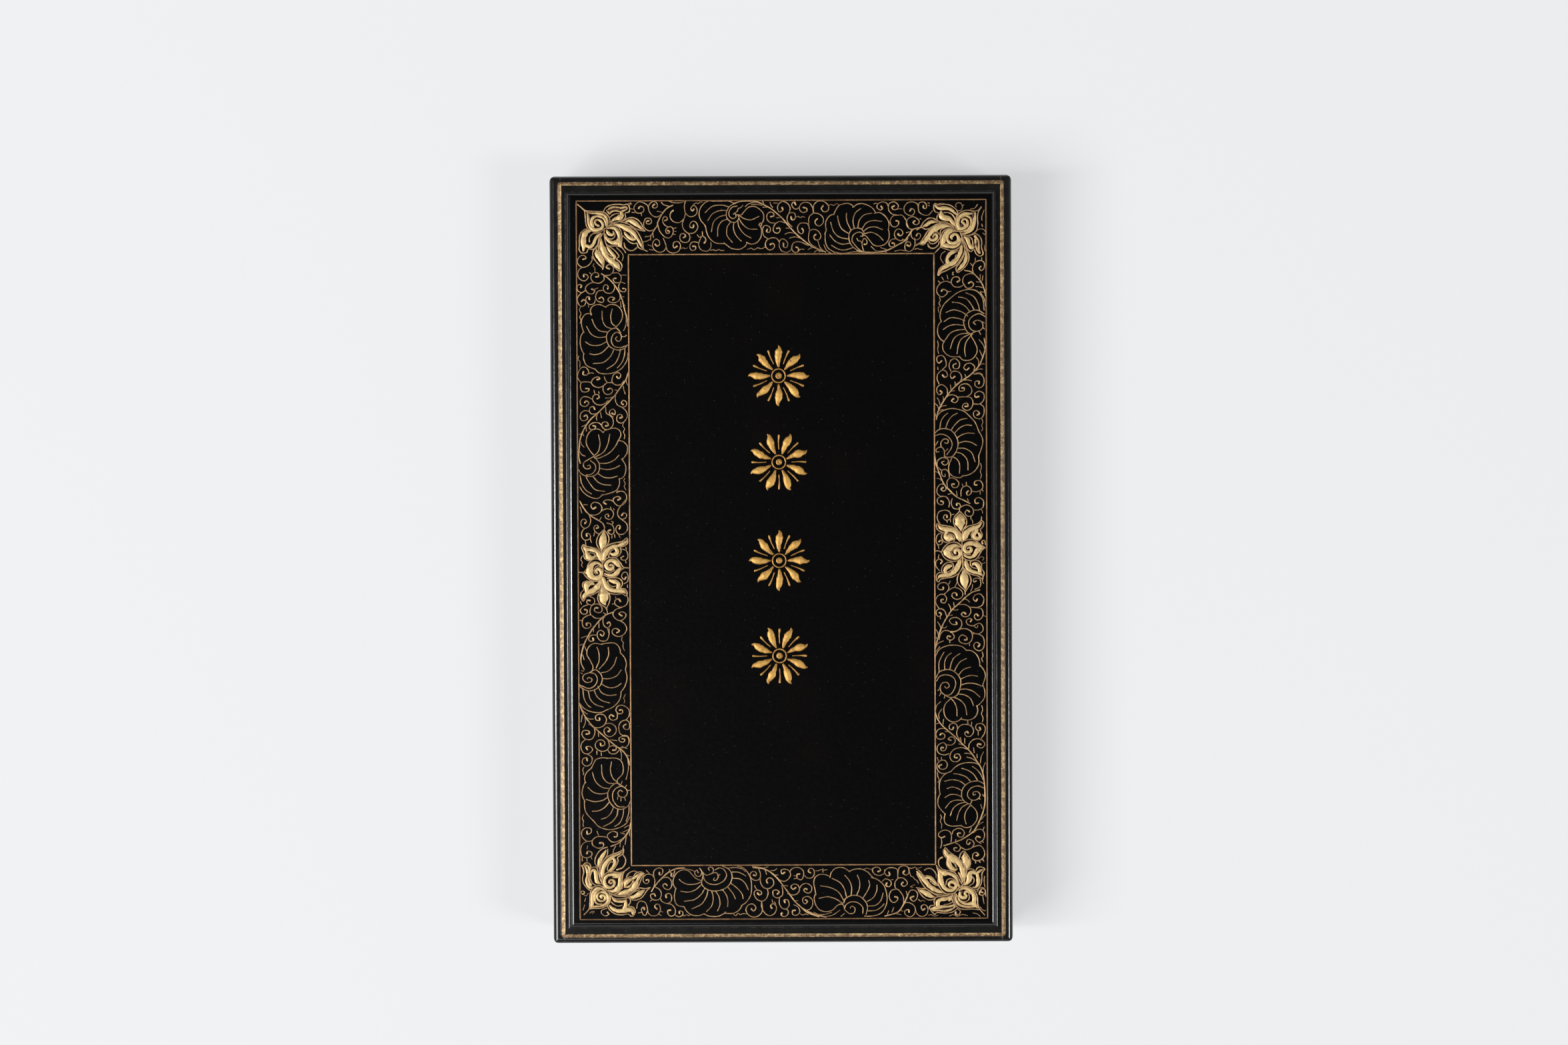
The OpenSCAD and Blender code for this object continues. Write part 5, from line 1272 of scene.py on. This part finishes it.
# %% Lotus, bottom corners: bottom left
bottom_left_petals = [
    (-528, -1019, 4, -12, -7, 13, -18, 1, 10, -18, -2, 9, -10, -11, 10, -1, -15, 10, 8, -12, 11, 13,
    -2, 9, 10, 8, 8, 1, 11, 8, -7, 6, 7, -8, -2, 7, -2, -6, 6, 5, -4, 6, 4, 3, 6), (-531, -1021, 4,
    -6, -18, 10, 0, -19, 13, -9, -15, 15, -14, -6, 10, -14, 2, 5), (-559, -1033, 5, 10, 0, 8, 8, 3,
    10), (-634, -1134, 4, 6, 12, 9, 0, 19, 9, 3, 20, 9, 13, 13, 9, 16, -2, 8, 12, -8, 5), (-633,
    -1134, 5, 14, 5, 6, 18, 1, 7, 16, 7, 9, 9, 11, 10, 0, 14, 10, -7, 10, 8, -11, 4, 7, -12, -3, 7,
    -6, -10, 7, 4, -12, 7, 12, -5, 7, 10, 6, 8, 0, 9, 8, -8, 5, 8, -6, -4, 8, 3, -5, 7), (-606, -1076,
    6, -11, -8, 8, -3, -14, 8, 2, -15, 7, 9, -8, 6, 12, -1, 5), (-582, -945, 4, -8, -13, 10, -10, -16,
    13, -5, -13, 11, -3, -12, 4), (-596, -1037, 5, 2, 18, 12, 4, 18, 12, 10, 18, 12, 13, 11, 12, 13,
    9, 7, 14, 5, 7, 12, 9, 3), (-560, -971, 8, 5, -5, 9, 2, -10, 9, -6, -13, 9, -9, -11, 8, -7, -2,
    5), (-652, -995, 5, 7, -15, 8, 2, -16, 7, -4, -16, 8, 4, -16, 9, 9, -9, 10, 7, 2, 4), (-649, -994,
    6, 8, -2, 7, 5, -12, 6, 0, -18, 5, -2, -16, 7, 5, -17, 8), (-630, -1016, 5, 6, 7, 10, 7, -7, 11,
    2, -17, 12, 4, -15, 12, 10, -7, 4), (-544, -1091, 4, 14, 6, 13, 18, 5, 14, 16, 9, 14, 11, 16, 14,
    8, 15, 10, 8, 13, 9, 9, 6, 4), (-520, -1062, 7, 3, 9, 13, 10, 10, 15, 10, 3, 8), (-522, -1066, 5,
    13, 1, 6, 10, 9, 5, 6, 10, 6), (-493, -1038, 8, 9, 6, 9, 9, 8, 6, 10, 4, 4), (-510, -1096, 3, 15,
    -3, 10, 15, 6, 15, 13, 10, 14, 9, 6, 6), (-562, -1099, 4, 7, -10, 8, 13, -4, 8, 15, 0, 8, 10, 4,
    7), (-518, -1112, 8, -1, -14, 10, -4, -12, 12), (-571, -1126, 5, 9, -10, 10, 18, -8, 12, 18, 1,
    13, 18, 3, 14, 12, -4, 13, 1, -10, 6),
]
bottom_left_outline = [
    (-596, -1054, 1, 14, 5, 13, 14, 10, 18, 1, 18, -2, 16, 3, 19, 14), (-523, -1016, -5, -14, -1, -19,
    -1, -16, -10, -15, -15, -9, -16, 4, -7, 7, -14, 12, -16, 6, -17, -7, -9, -18, -1, -23, -1, -20,
    -4, -12, -15, -16), (-636, -1137, 17, 2, 18, 0, 18, 7, 12, 13, 3, 17, -4, 12), (-578, -935, -16,
    -5, -14, -13, -9, -18, -1, -16, 8, -14), (-576, -942, -2, -18, -12, -18, -11, -16, -4, -10),
    (-578, -1008, 4, 16, 9, 10, 4, -3), (-602, -1034, 1, 31, 9, 20, 14, 16, 18, 9, 18, 6, 14, 8, 3,
    7), (-524, -942, -3, -15, -17, -12, 2, -11, -7, -16, -11, -14, -16, -6), (-526, -960, 8, -14, -2,
    -18, -10, -12, -14, -4), (-663, -994, 5, -7, 3, -16, -4, -16, 2, -18, 11, -16, 11, -10), (-658,
    -995, 9, 9, 12, -2, 5, -10, -3, -7), (-634, -1005, 10, 5, 12, -3, 5, -16, 5, -18, 7, -16, 10,
    -17), (-631, -1018, -3, -17, 8, -18, 9, -6), (-559, -1092, 10, 0, 23, 0, 23, 6, 18, 12, 11, 16, 7,
    18, 9, 16), (-530, -1071, 3, 15, 8, 16, 14, 8, 11, -1, 9, 12, 16, 5, 13, -6), (-515, -1033, 4, 9,
    10, 8, 11, 3, 12, -4), (-483, -1071, 14, 2, 16, -2, 15, 4), (-505, -1103, 15, -6, 19, 5, 13, 12,
    9, 14, 11, 10), (-519, -1093, 16, 2, 13, 10, 16, 6), (-565, -1115, 10, -9, 13, -4, 12, 3), (-566,
    -1094, 8, -8, 14, -3, 18, 1, 12, 2), (-579, -1126, 10, -16, 18, -12, 21, -3, 18, 3, 12, -7, 8, 3,
    5, 14, -7, 12, -16, 5, 7, 10, -2, 14, -16, 6, -23, 1, -21, 6),
]
lay_lotus("bottom_left", bottom_left_petals, bottom_left_outline)


# %% Lotus, bottom corners: bottom right
bottom_right_petals = [
    (509, -1013, 4, 4, -17, 14, 3, -19, 15, 8, -19, 13, 13, -11, 12, 16, -1, 11, 11, 9, 10, 0, 11, 10,
    -9, 7, 10, -10, -2, 10, -3, -8, 9, 6, -7, 5), (510, -1015, 5, 16, -9, 15, 18, -2, 11, 16, -8, 10,
    10, -15, 7, 4, -18, 5), (546, -1069, 8, 10, -3, 8), (576, -1080, 6, 14, 6, 8, 18, -4, 11, 13, -14,
    12, 4, -16, 12, -1, -16, 15, 11, -14, 5), (566, -1094, 5, -1, -16, 7, 9, -16, 8, 16, -7, 7, 18,
    -2, 8, 16, 2, 8), (571, -1099, 4, 8, -17, 7, 18, -9, 9, 18, 1, 11, 8, 2, 12), (578, -1086, 6, 0,
    -11, 9, 7, -7, 10, 9, 0, 11, 4, 6, 8, -4, 6, 8, 2, 6, 8, 8, 1, 7, 7, -6, 6), (529, -949, 6, 8,
    -16, 15, 16, -9, 18, 18, -13, 15, 12, -18, 14, 4, -19, 14, 3, -18, 7, -7, -16, 4), (574, -1023, 5,
    8, -11, 9, 3, -16, 4), (542, -976, 13, 1, -19, 14, 9, -12, 12, 11, -6, 9, 5, 3, 5), (553, -984, 8,
    9, -10, 5, 4, -10, 4), (592, -958, 4, 2, -13, 17, 5, -14, 22, 3, -11, 16, 0, -14, 4), (592, -1062,
    4, 11, 7, 13, 6, 13, 16, 1, 15, 15, 10, 6, 12, 12, -4, 10, 12, 8, 9, 10, 5, 3), (635, -1029, 11,
    3, -17, 11, -1, -15, 10, -8, -10, 7, -8, 0, 4), (438, -1019, 6, 13, -16, 10, 14, -16, 13, 13, -15,
    13, 18, -12, 13, 19, -8, 9, 15, -5, 4), (462, -1042, 9, 13, 4, 9, 12, -7, 10, 11, -12, 9, 3, -6,
    4), (466, -1046, 7, 6, -8, 7, 4, -5, 7), (481, -1049, 5, 8, -8, 5, 9, -6, 5), (444, -1078, 4, 14,
    -7, 13, 13, -7, 17, 14, -8, 11, 11, -2, 3), (549, -1099, 5, -14, -9, 11, -17, -2, 13, -12, -7, 13,
    -1, -11, 13, 1, -8, 12), (550, -1100, 5, -4, -10, 7, -4, -5, 4), (486, -1141, 8, 15, 4, 12, 20, 3,
    10, 19, 0, 8, 18, 5, 7), (490, -1146, 6, 18, 0, 6, 18, -2, 7, 18, 3, 7, 16, 9, 6, -1, 6, 5),
]
bottom_right_outline = [
    (501, -999, 7, -10, 13, -7, 19, 0, 18, -5, 13, -14, 9, -18), (503, -1005, 5, -21, -1, -18, 1, -18,
    9, -16, 13, -12, 19, -2, 13, 5, 10, 11, 6, 12), (532, -1062, 4, 15, 14, 5, 15, -8, 5, -15), (578,
    -1072, 16, 5, 18, -4, 16, -14, 7, -18, 1, -18, 5, -19, 18, -22), (640, -1144, -23, 2, -18, -1,
    -19, 2, -14, 11, -7, 18, 1, 18, 10, 18), (573, -1098, 6, -14, 13, -6, 13, 5, 4, 11, -3, 8), (530,
    -941, -6, -10, 3, -14, 8, -13, -1, -14, 6, -13, 11, -11, 11, -4), (533, -942, 11, -13, 18, -12,
    16, -13, 12, -16, 5, -19, -1, -20, -2, -20, -10, -13), (576, -976, 4, 14, 10, 10, 9, -8, 10, -14,
    4, -13, -3, -16, -8, -9), (584, -972, 3, -10, 5, -11, 6, -15, 2, -11, -4, -16, -4, -20), (620,
    -1037, 5, -9, -4, -12, -11, -7), (602, -1013, 10, 3, 9, -2, 8, -6, 6, 10, 11, 4, 13, -7, -8, -13,
    -1, -18, -3, -18, -10, -16, -13, -2, -12, 7), (435, -1010, 11, -7, 14, -16, 11, 1, 14, -4, 11,
    -13, 9, -16), (437, -1026, 12, -23, 13, -20, 18, -14, 19, -9, 22, -4, 21, 1, 14, 4), (462, -1015,
    9, 6, 12, 0, 11, -8, 7, -13), (435, -1071, 14, -3, 20, -2, 14, -9, 16, -10, 11, -4), (440, -1076,
    9, -16, 13, -13, 16, -7, 14, 3, 11, 7, 17, 2, 20, 2), (526, -1127, 16, 2, 11, 6), (499, -1103, -6,
    -12, 2, -13, -12, -2, -5, -7, 7, -12, 10, -10, 8, 6, 23, -2, 23, 2, 16, 9, 6, 7), (554, -1093, -2,
    -15, 6, -16, 9, -11),
]
lay_lotus("bottom_right", bottom_right_petals, bottom_right_outline)


# %% Lotus, long sides: left
left_petals = [
    (-583, 99, 3, -1, -13, 15, -2, -13, 24, -1, -9, 26, -1, -11, 20, -2, -10, 10, 0, -9, 3), (-594, 5,
    9, -3, 11, 14, -7, 13, 14, -12, 7, 12, -15, 2, 10, -12, 2, 12, -7, 10, 4), (-642, 34, 9, 3, -9,
    12, 4, -9, 18, 8, -5, 15, 9, 2, 9, 5, 4, 5), (-584, 7, 9, 3, 12, 13, 6, 13, 15, 10, 10, 13, 13, 6,
    11, 14, 2, 9, 15, 6, 10, 11, 7, 7, 5, 7, 3), (-554, 46, 7, 9, -4, 10, 5, -8, 12, -2, -8, 12, -7,
    -4, 12, -8, 1, 9, -6, 4, 4), (-588, -19, 4, -9, 10, 8, -13, 4, 11, -12, -6, 14, -7, -12, 18, -2,
    -13, 22, 6, -13, 17, 13, -6, 14, 13, 3, 14, 7, 11, 13, -2, 11, 12, -9, 5, 10, -6, -6, 8, 4, -8,
    5), (-648, -37, 3, 8, 0, 11, 8, 0, 18), (-527, -20, 3, -9, 6, 11, -7, 9, 14, -12, 7, 12, -13, -2,
    13, -8, -9, 13, 2, -11, 12, 9, -6, 11, 9, 3, 10, 3, 8, 8, -6, 4, 7, -4, -2, 7), (-528, -22, 5, -7,
    -6, 11, -6, -8, 13, -8, -7, 12, -9, -3, 10, -13, 2, 8, -10, 4, 4), (-590, -84, 3, 2, -10, 14, 3,
    -12, 25, 1, -10, 29, -1, -11, 23, 2, -9, 13, 4, -6, 4), (-595, -66, 10, -6, -10, 15, -9, -12, 16,
    -12, -9, 15, -13, -5, 15, -12, -8, 13, -6, -14, 4), (-641, -99, 10, 0, 10, 13, 0, 11, 19, 9, 6,
    16, 10, 0, 12, 5, -3, 6), (-586, -55, 9, 4, -13, 13, 6, -13, 15, 11, -10, 15, 15, -5, 13, 15, 0,
    14, 13, -2, 12, 10, -7, 4), (-539, -93, 10, 1, 9, 10, 2, 9, 12, -8, 7, 14, -12, 3, 12, -9, 3, 7),
]
left_outline = [
    (-585, 101, -13, -13, -8, -15, -1, -15, 7, -15, 9, -13, 2, -25), (-583, 102, 9, -9, 7, -15, -2,
    -18, -11, -17, -7, -15, -1, -23), (-594, 26, -11, 14, -17, 5, -18, 4, -11, 5, -5, -9, 4, -11, 4,
    -10, -1, -8, 7, -10, 12, -5), (-632, 27, 12, 0, 9, -7, 2, -7), (-568, 14, 3, 14, 7, 8, 9, 4),
    (-586, 30, 8, 15, 16, 11, 20, 5, 20, 4, 14, 11, 2, -16, -9, -9, -15, -6, 3, -10, -4, -12, -11, -9,
    -16, -3), (-586, -13, -6, 13, -13, 8, -16, -3, -13, -13, -6, -17, -12, -11, -12, 0), (-651, -39,
    9, -11, 12, -11, 15, -4, 17, 2, 9, 13), (-591, -20, -11, 5, -10, -5, -4, -13, 6, -9), (-585, -3,
    10, 12, 17, 4, 16, -4, 12, -14, 11, -15, 17, -2), (-519, -23, -11, -7, -8, -14, -14, -9, -18, 2,
    -14, 6), (-581, -30, 11, -6, 14, 2, 7, 7), (-588, 5, 1, -20, 0, -20, -3, -20, -1, -20, -3, -18,
    -8, -15, -2, -16, 8, -15, 16, -11, 6, -10), (-590, -78, 10, -15, 12, -12, 4, -15, -4, -18, -7,
    -13), (-631, -93, 12, 7, 7, 8), (-639, -63, -12, -6, -3, -11, 5, -11, -9, -10, -2, -12, 8, -17,
    10, 15, 20, 6, 17, 9, 10, 10), (-572, -64, 4, -11, 13, -8, 10, 2), (-572, -56, 17, 2, 17, -1, 13,
    -9, 1, -14, -6, -10, 15, -3, 7, -12, -4, -10, -13, 7, -20, -2, -23, 5, -12, 13, -9, 17),
]
lay_lotus("left", left_petals, left_outline)


# %% Lotus, long sides: right
right_petals = [
    (581, 152, 3, 0, -9, 21, 0, -13, 33, 1, -14, 26, 2, -12, 13, 1, -11, 3), (581, 62, 7, -3, 10, 15,
    -6, 13, 16, -10, 10, 14, -14, 3, 13, -16, 2, 16, -13, 5, 12, -8, 8, 5), (538, 93, 9, -4, -8, 8,
    -1, -9, 13, 8, -4, 22, 9, -1, 20, 8, -3, 9), (593, 65, 8, 4, 10, 17, 6, 13, 18, 11, 10, 15, 14, 6,
    13, 13, 5, 11, 10, 12, 5), (637, 98, 9, -5, -8, 10, -5, -8, 11, 1, -8, 12, 8, -4, 12, 8, 2, 10, 3,
    7, 9, -5, 8, 8, -6, 2, 8), (585, 41, 4, -11, 6, 7, -14, -1, 11, -13, -8, 18, -9, -11, 20, 7, -12,
    17, 13, -8, 13, 14, 1, 12, 9, 9, 12, -1, 11, 11, -9, 5, 10, -7, -5, 9, 2, -7, 6), (525, 28, 3, 7,
    0, 12, 8, -1, 19), (662, 40, 3, -12, 3, 9, -12, 6, 16, -13, 4, 15, -13, 1, 13, -12, -5, 13, -5,
    -10, 12, 3, -10, 12, 9, -4, 11, 9, 3, 10, 2, 8, 9, -6, 5, 8, -6, -3, 6), (656, 39, 5, -12, -3, 14,
    -9, -10, 16, -8, -12, 12, -12, -6, 9, -13, 3, 7, -8, 5, 4), (592, -31, 3, 1, -11, 13, 1, -13, 25,
    1, -10, 28, 1, -11, 23, 2, -11, 12, 2, -11, 3), (581, -2, 10, -4, -12, 15, -7, -14, 15, -10, -12,
    14, -14, -8, 13, -17, -2, 13, -14, -3, 9, -6, -9, 4), (536, -44, 9, -4, 9, 11, 4, 9, 14, 8, 5, 14,
    7, 2, 10), (600, -4, 9, 2, -11, 13, 5, -12, 13, 10, -9, 11, 15, -5, 9, 14, -4, 11, 8, -6, 5),
    (646, -42, 8, -1, 10, 12, -3, 10, 13, -7, 8, 11, -9, 2, 10, -3, -4, 6),
]
right_outline = [
    (579, 170, 0, -12, -14, -15, -5, -15, 4, -17, 12, -16, 8, -11, 2, -19), (580, 159, 12, -11, 10,
    -15, 0, -18, -10, -17, -3, -15, -2, -18), (578, 94, -16, 10, -17, 6, -20, 3, -10, 3, -8, 3, -3,
    -10, 5, -11, 11, -7, 8, -2), (528, 89, -7, -9, 2, -12, 8, -9, 15, -3, 14, 4, 4, 9, -4, 11, -10, 5,
    -9, 1), (595, 101, 13, 9, 17, 4, 15, 5, 10, 9, 2, 12), (652, 129, 7, -8, -3, -13, -8, -9, 2, -7,
    4, -9, -4, -13, -10, -7, -14, 2, -7, 10, 0, 10, 7, 10, 6, 3), (586, 45, -8, 8, -13, 5, -17, -2,
    -16, -11, -12, -17, -10, 2, -10, -1), (520, 27, 8, -17, 14, -11, 18, -4, 18, 4, 9, 11), (584, 42,
    -14, -1, -12, -6, -4, -11, 5, -9), (589, 60, 11, 4, 18, 3, 14, -4, 16, -13, 14, -9), (662, 39,
    -10, -9, -8, -14, -9, -12, -15, -6, -18, 2, -11, 8), (588, 62, 0, -22, 0, -20, 2, -22, 0, -21,
    -12, -20, -6, -17, 2, -16, 10, -13, 12, -10, 2, -14), (590, -23, 10, -16, 12, -11, 5, -15, -3,
    -15, -10, -15, -6, -10), (542, -39, 13, 8, 5, 11, -5, 10, -14, 2, -12, -7, -8, -13, 1, -12), (530,
    -42, -15, 1, -10, -7, -1, -15, 6, -9, 8, 9, 17, 4, 23, 4, 16, 9), (615, -5, 15, 4, 12, -3, 9, -10,
    1, -14, 8, -15, -4, -13, -2, -7, -14, 10, -15, 4, -17, 7, -12, 14), (615, -5, 1, -13, 9, -8, 11,
    -2), (592, 21, 11, -4, 12, 1),
]
lay_lotus("right", right_petals, right_outline)


# %% [markdown]
# In a few petals the hollows between the gold are dark red-brown rather than black. They are short
# flat strokes in their own finish, a red-brown gloss with darker grain.

# %% Red hollows
RED_DARK = (0.025, 0.006, 0.004, 1)
RED_LIGHT = (0.10, 0.03, 0.015, 1)
HOLLOW = (0.7, 0.6)
red_lacquer, n, link = fresh_material("red_lacquer")
place = n.new("ShaderNodeTexCoord").outputs["Object"]
streaks = noise_node(n, link, place, scale=1500)
shader = n.new("ShaderNodeBsdfPrincipled")
link.new(mix_colour(n, link, streaks, RED_DARK, RED_LIGHT), shader.inputs["Base Color"])
link.new(stretch(n, link, streaks, 0.3, 0.7, to_low=0.25, to_high=0.4), shader.inputs["Roughness"])
show_surface(n, link, shader)
hollows = [
    (-566, 1140, 29, 6, 30, 1), (-627, 1128, 4, -14, 10, -10), (626, 1128, 1, -10, -3, -10),
    (590, 1092, -6, -8), (639, 1038, -4, -12, 2, -10), (522, -1140, 16, 4, 15, -2),
    (574, -1124, 8, 10), (585, -1087, -8, 8), (644, 112, -3, -10), (629, 80, 4, -6),
]
strokes = [brush(row, *HOLLOW) for row in hollows]
lay_strokes("lotus_hollows", strokes, petal_section, red_lacquer, panel_top)


# %% [markdown]
# Down the middle of the lid stands a column of four gilt roundels, in a warmer gold than the
# border. Each is a plain rosette: eight pressed petal strokes, a fine line between each two, and a
# ring round the eye. A loop over angles draws it, and every other one is turned by half a petal.

# %% Roundels
def around_eye(eye, angle, steps):
    """Points (x, y, width) round the eye; each step is a distance, a width and a turn."""
    row = []
    for reach, width, turn in steps:
        a = math.radians(angle + turn)
        row.append((eye[0] + reach * math.cos(a), eye[1] + reach * math.sin(a), width))
    return row


PETALS = 8
EYE_X = -0.8
EYES_Y = (60, 32, 0, -31)
# Each point of a stroke: distance from the eye and width in mm, turn in degrees
PETAL = ((3.0, 0.6, 0), (5.0, 1.7, 2), (7.2, 2.5, 0), (9.0, 1.2, -2), (9.7, 0.4, 0))
FINE_LINE = ((4.2, 0.3, 0), (6.6, 0.4, 1), (8.6, 0.7, 0))
RING = [(2.2, 0.45, turn) for turn in range(0, 361, 30)]
EYE_DOT = [(0.55, 1.0, turn) for turn in range(0, 361, 60)]
petals = []
fine = []
for number, middle in enumerate(EYES_Y):
    eye = (EYE_X, middle)
    for k in range(PETALS):
        angle = 360 / PETALS * (k + number % 2 / 2)
        petals.append(around_eye(eye, angle, PETAL))
        fine.append(around_eye(eye, angle + 180 / PETALS, FINE_LINE))
    fine.append(around_eye(eye, 0, RING))
    petals.append(around_eye(eye, 0, EYE_DOT))
lay_strokes("roundel_petals", petals, petal_section, amber_gold, panel_top)
lay_strokes("roundel_lines", fine, line_section, amber_gold, panel_top)


# %% [markdown]
# The floors of the recesses are thin silk pads, crowned in the middle, with sides that pull in
# between the corners. A cube is subdivided, and its points are then moved by a formula: at 3 mm
# thick they are too thin for a cloth simulation to be worth it. The lining under the lid is such a
# pad, crowned downwards. The strips between the pads are silk drawn tight over wood, so the same
# function makes them with a very low crown and straight sides.

# %% Silk pads, strips and lid lining
RIM_POWER = 6
PULL_POWER = 3
EDGE_PULL, EDGE_POWER = 0.02, 8
RUCK_DEPTH, RUCK_SCALE, RUCK_SHIFT = 0.03, 5, 90
PAD_CREASE = math.radians(60)
PAD_CROWN, PAD_PULL, LINING_PULL = 0.55, 0.03, 0.012
STRIP_CROWN = 0.12


def drawn_in(along, across, w, pull):
    """A point's place along one side of a block, drawn in between the corners and at the edges."""
    sides = pull * (1 - across * across) * abs(along) ** PULL_POWER
    return along * (1 - sides - EDGE_PULL * w * w * abs(along) ** EDGE_POWER)


def soft_block(name, node, crown, pull, up=1, cuts=28):
    """A padded block in the place of a CAD node: crowned on one side, sides drawn in."""
    low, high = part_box(node)
    size, middle = high - low, (low + high) / 2
    bpy.ops.object.select_all(action="DESELECT")
    bpy.ops.mesh.primitive_cube_add(size=1, location=(0, 0, 0))
    piece = bpy.context.object
    piece.name = name
    bpy.ops.object.mode_set(mode="EDIT")
    bpy.ops.mesh.select_all(action="SELECT")
    bpy.ops.mesh.subdivide(number_cuts=cuts)
    bpy.ops.object.mode_set(mode="OBJECT")
    for point in piece.data.vertices:
        u, v, w = (2 * c for c in point.co)
        lift = 1
        if w * up > 0:
            inside = (1 - abs(u) ** RIM_POWER) * (1 - abs(v) ** RIM_POWER)
            folds = noise.noise((u * RUCK_SCALE, v * RUCK_SCALE, middle.y * RUCK_SHIFT))
            lift = 1 - crown * (1 - inside) - abs(RUCK_DEPTH * folds * inside)
        point.co = (middle.x + drawn_in(u, v, w, pull) * size.x / 2,
                    middle.y + drawn_in(v, u, w, pull) * size.y / 2,
                    middle.z + w * size.z / 2 * lift)
    bpy.ops.object.shade_smooth_by_angle(angle=PAD_CREASE)
    return piece


for node in sorted(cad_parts):
    if node.startswith("stick_pad") or node == "lid_lining":
        lining = node == "lid_lining"
        pull, up = (LINING_PULL, -1) if lining else (PAD_PULL, 1)
        pad = soft_block("silk_" + node, node, PAD_CROWN, pull, up)
        pad.data.materials.append(pad_silk)
        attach(pad, "lid" if lining else "base")
        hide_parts(node)
    elif node.startswith("tray_"):
        strip = soft_block("silk_" + node, node, STRIP_CROWN, pull=0.0)
        strip.data.materials.append(strip_silk)
        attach(strip, "base")
        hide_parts(node)
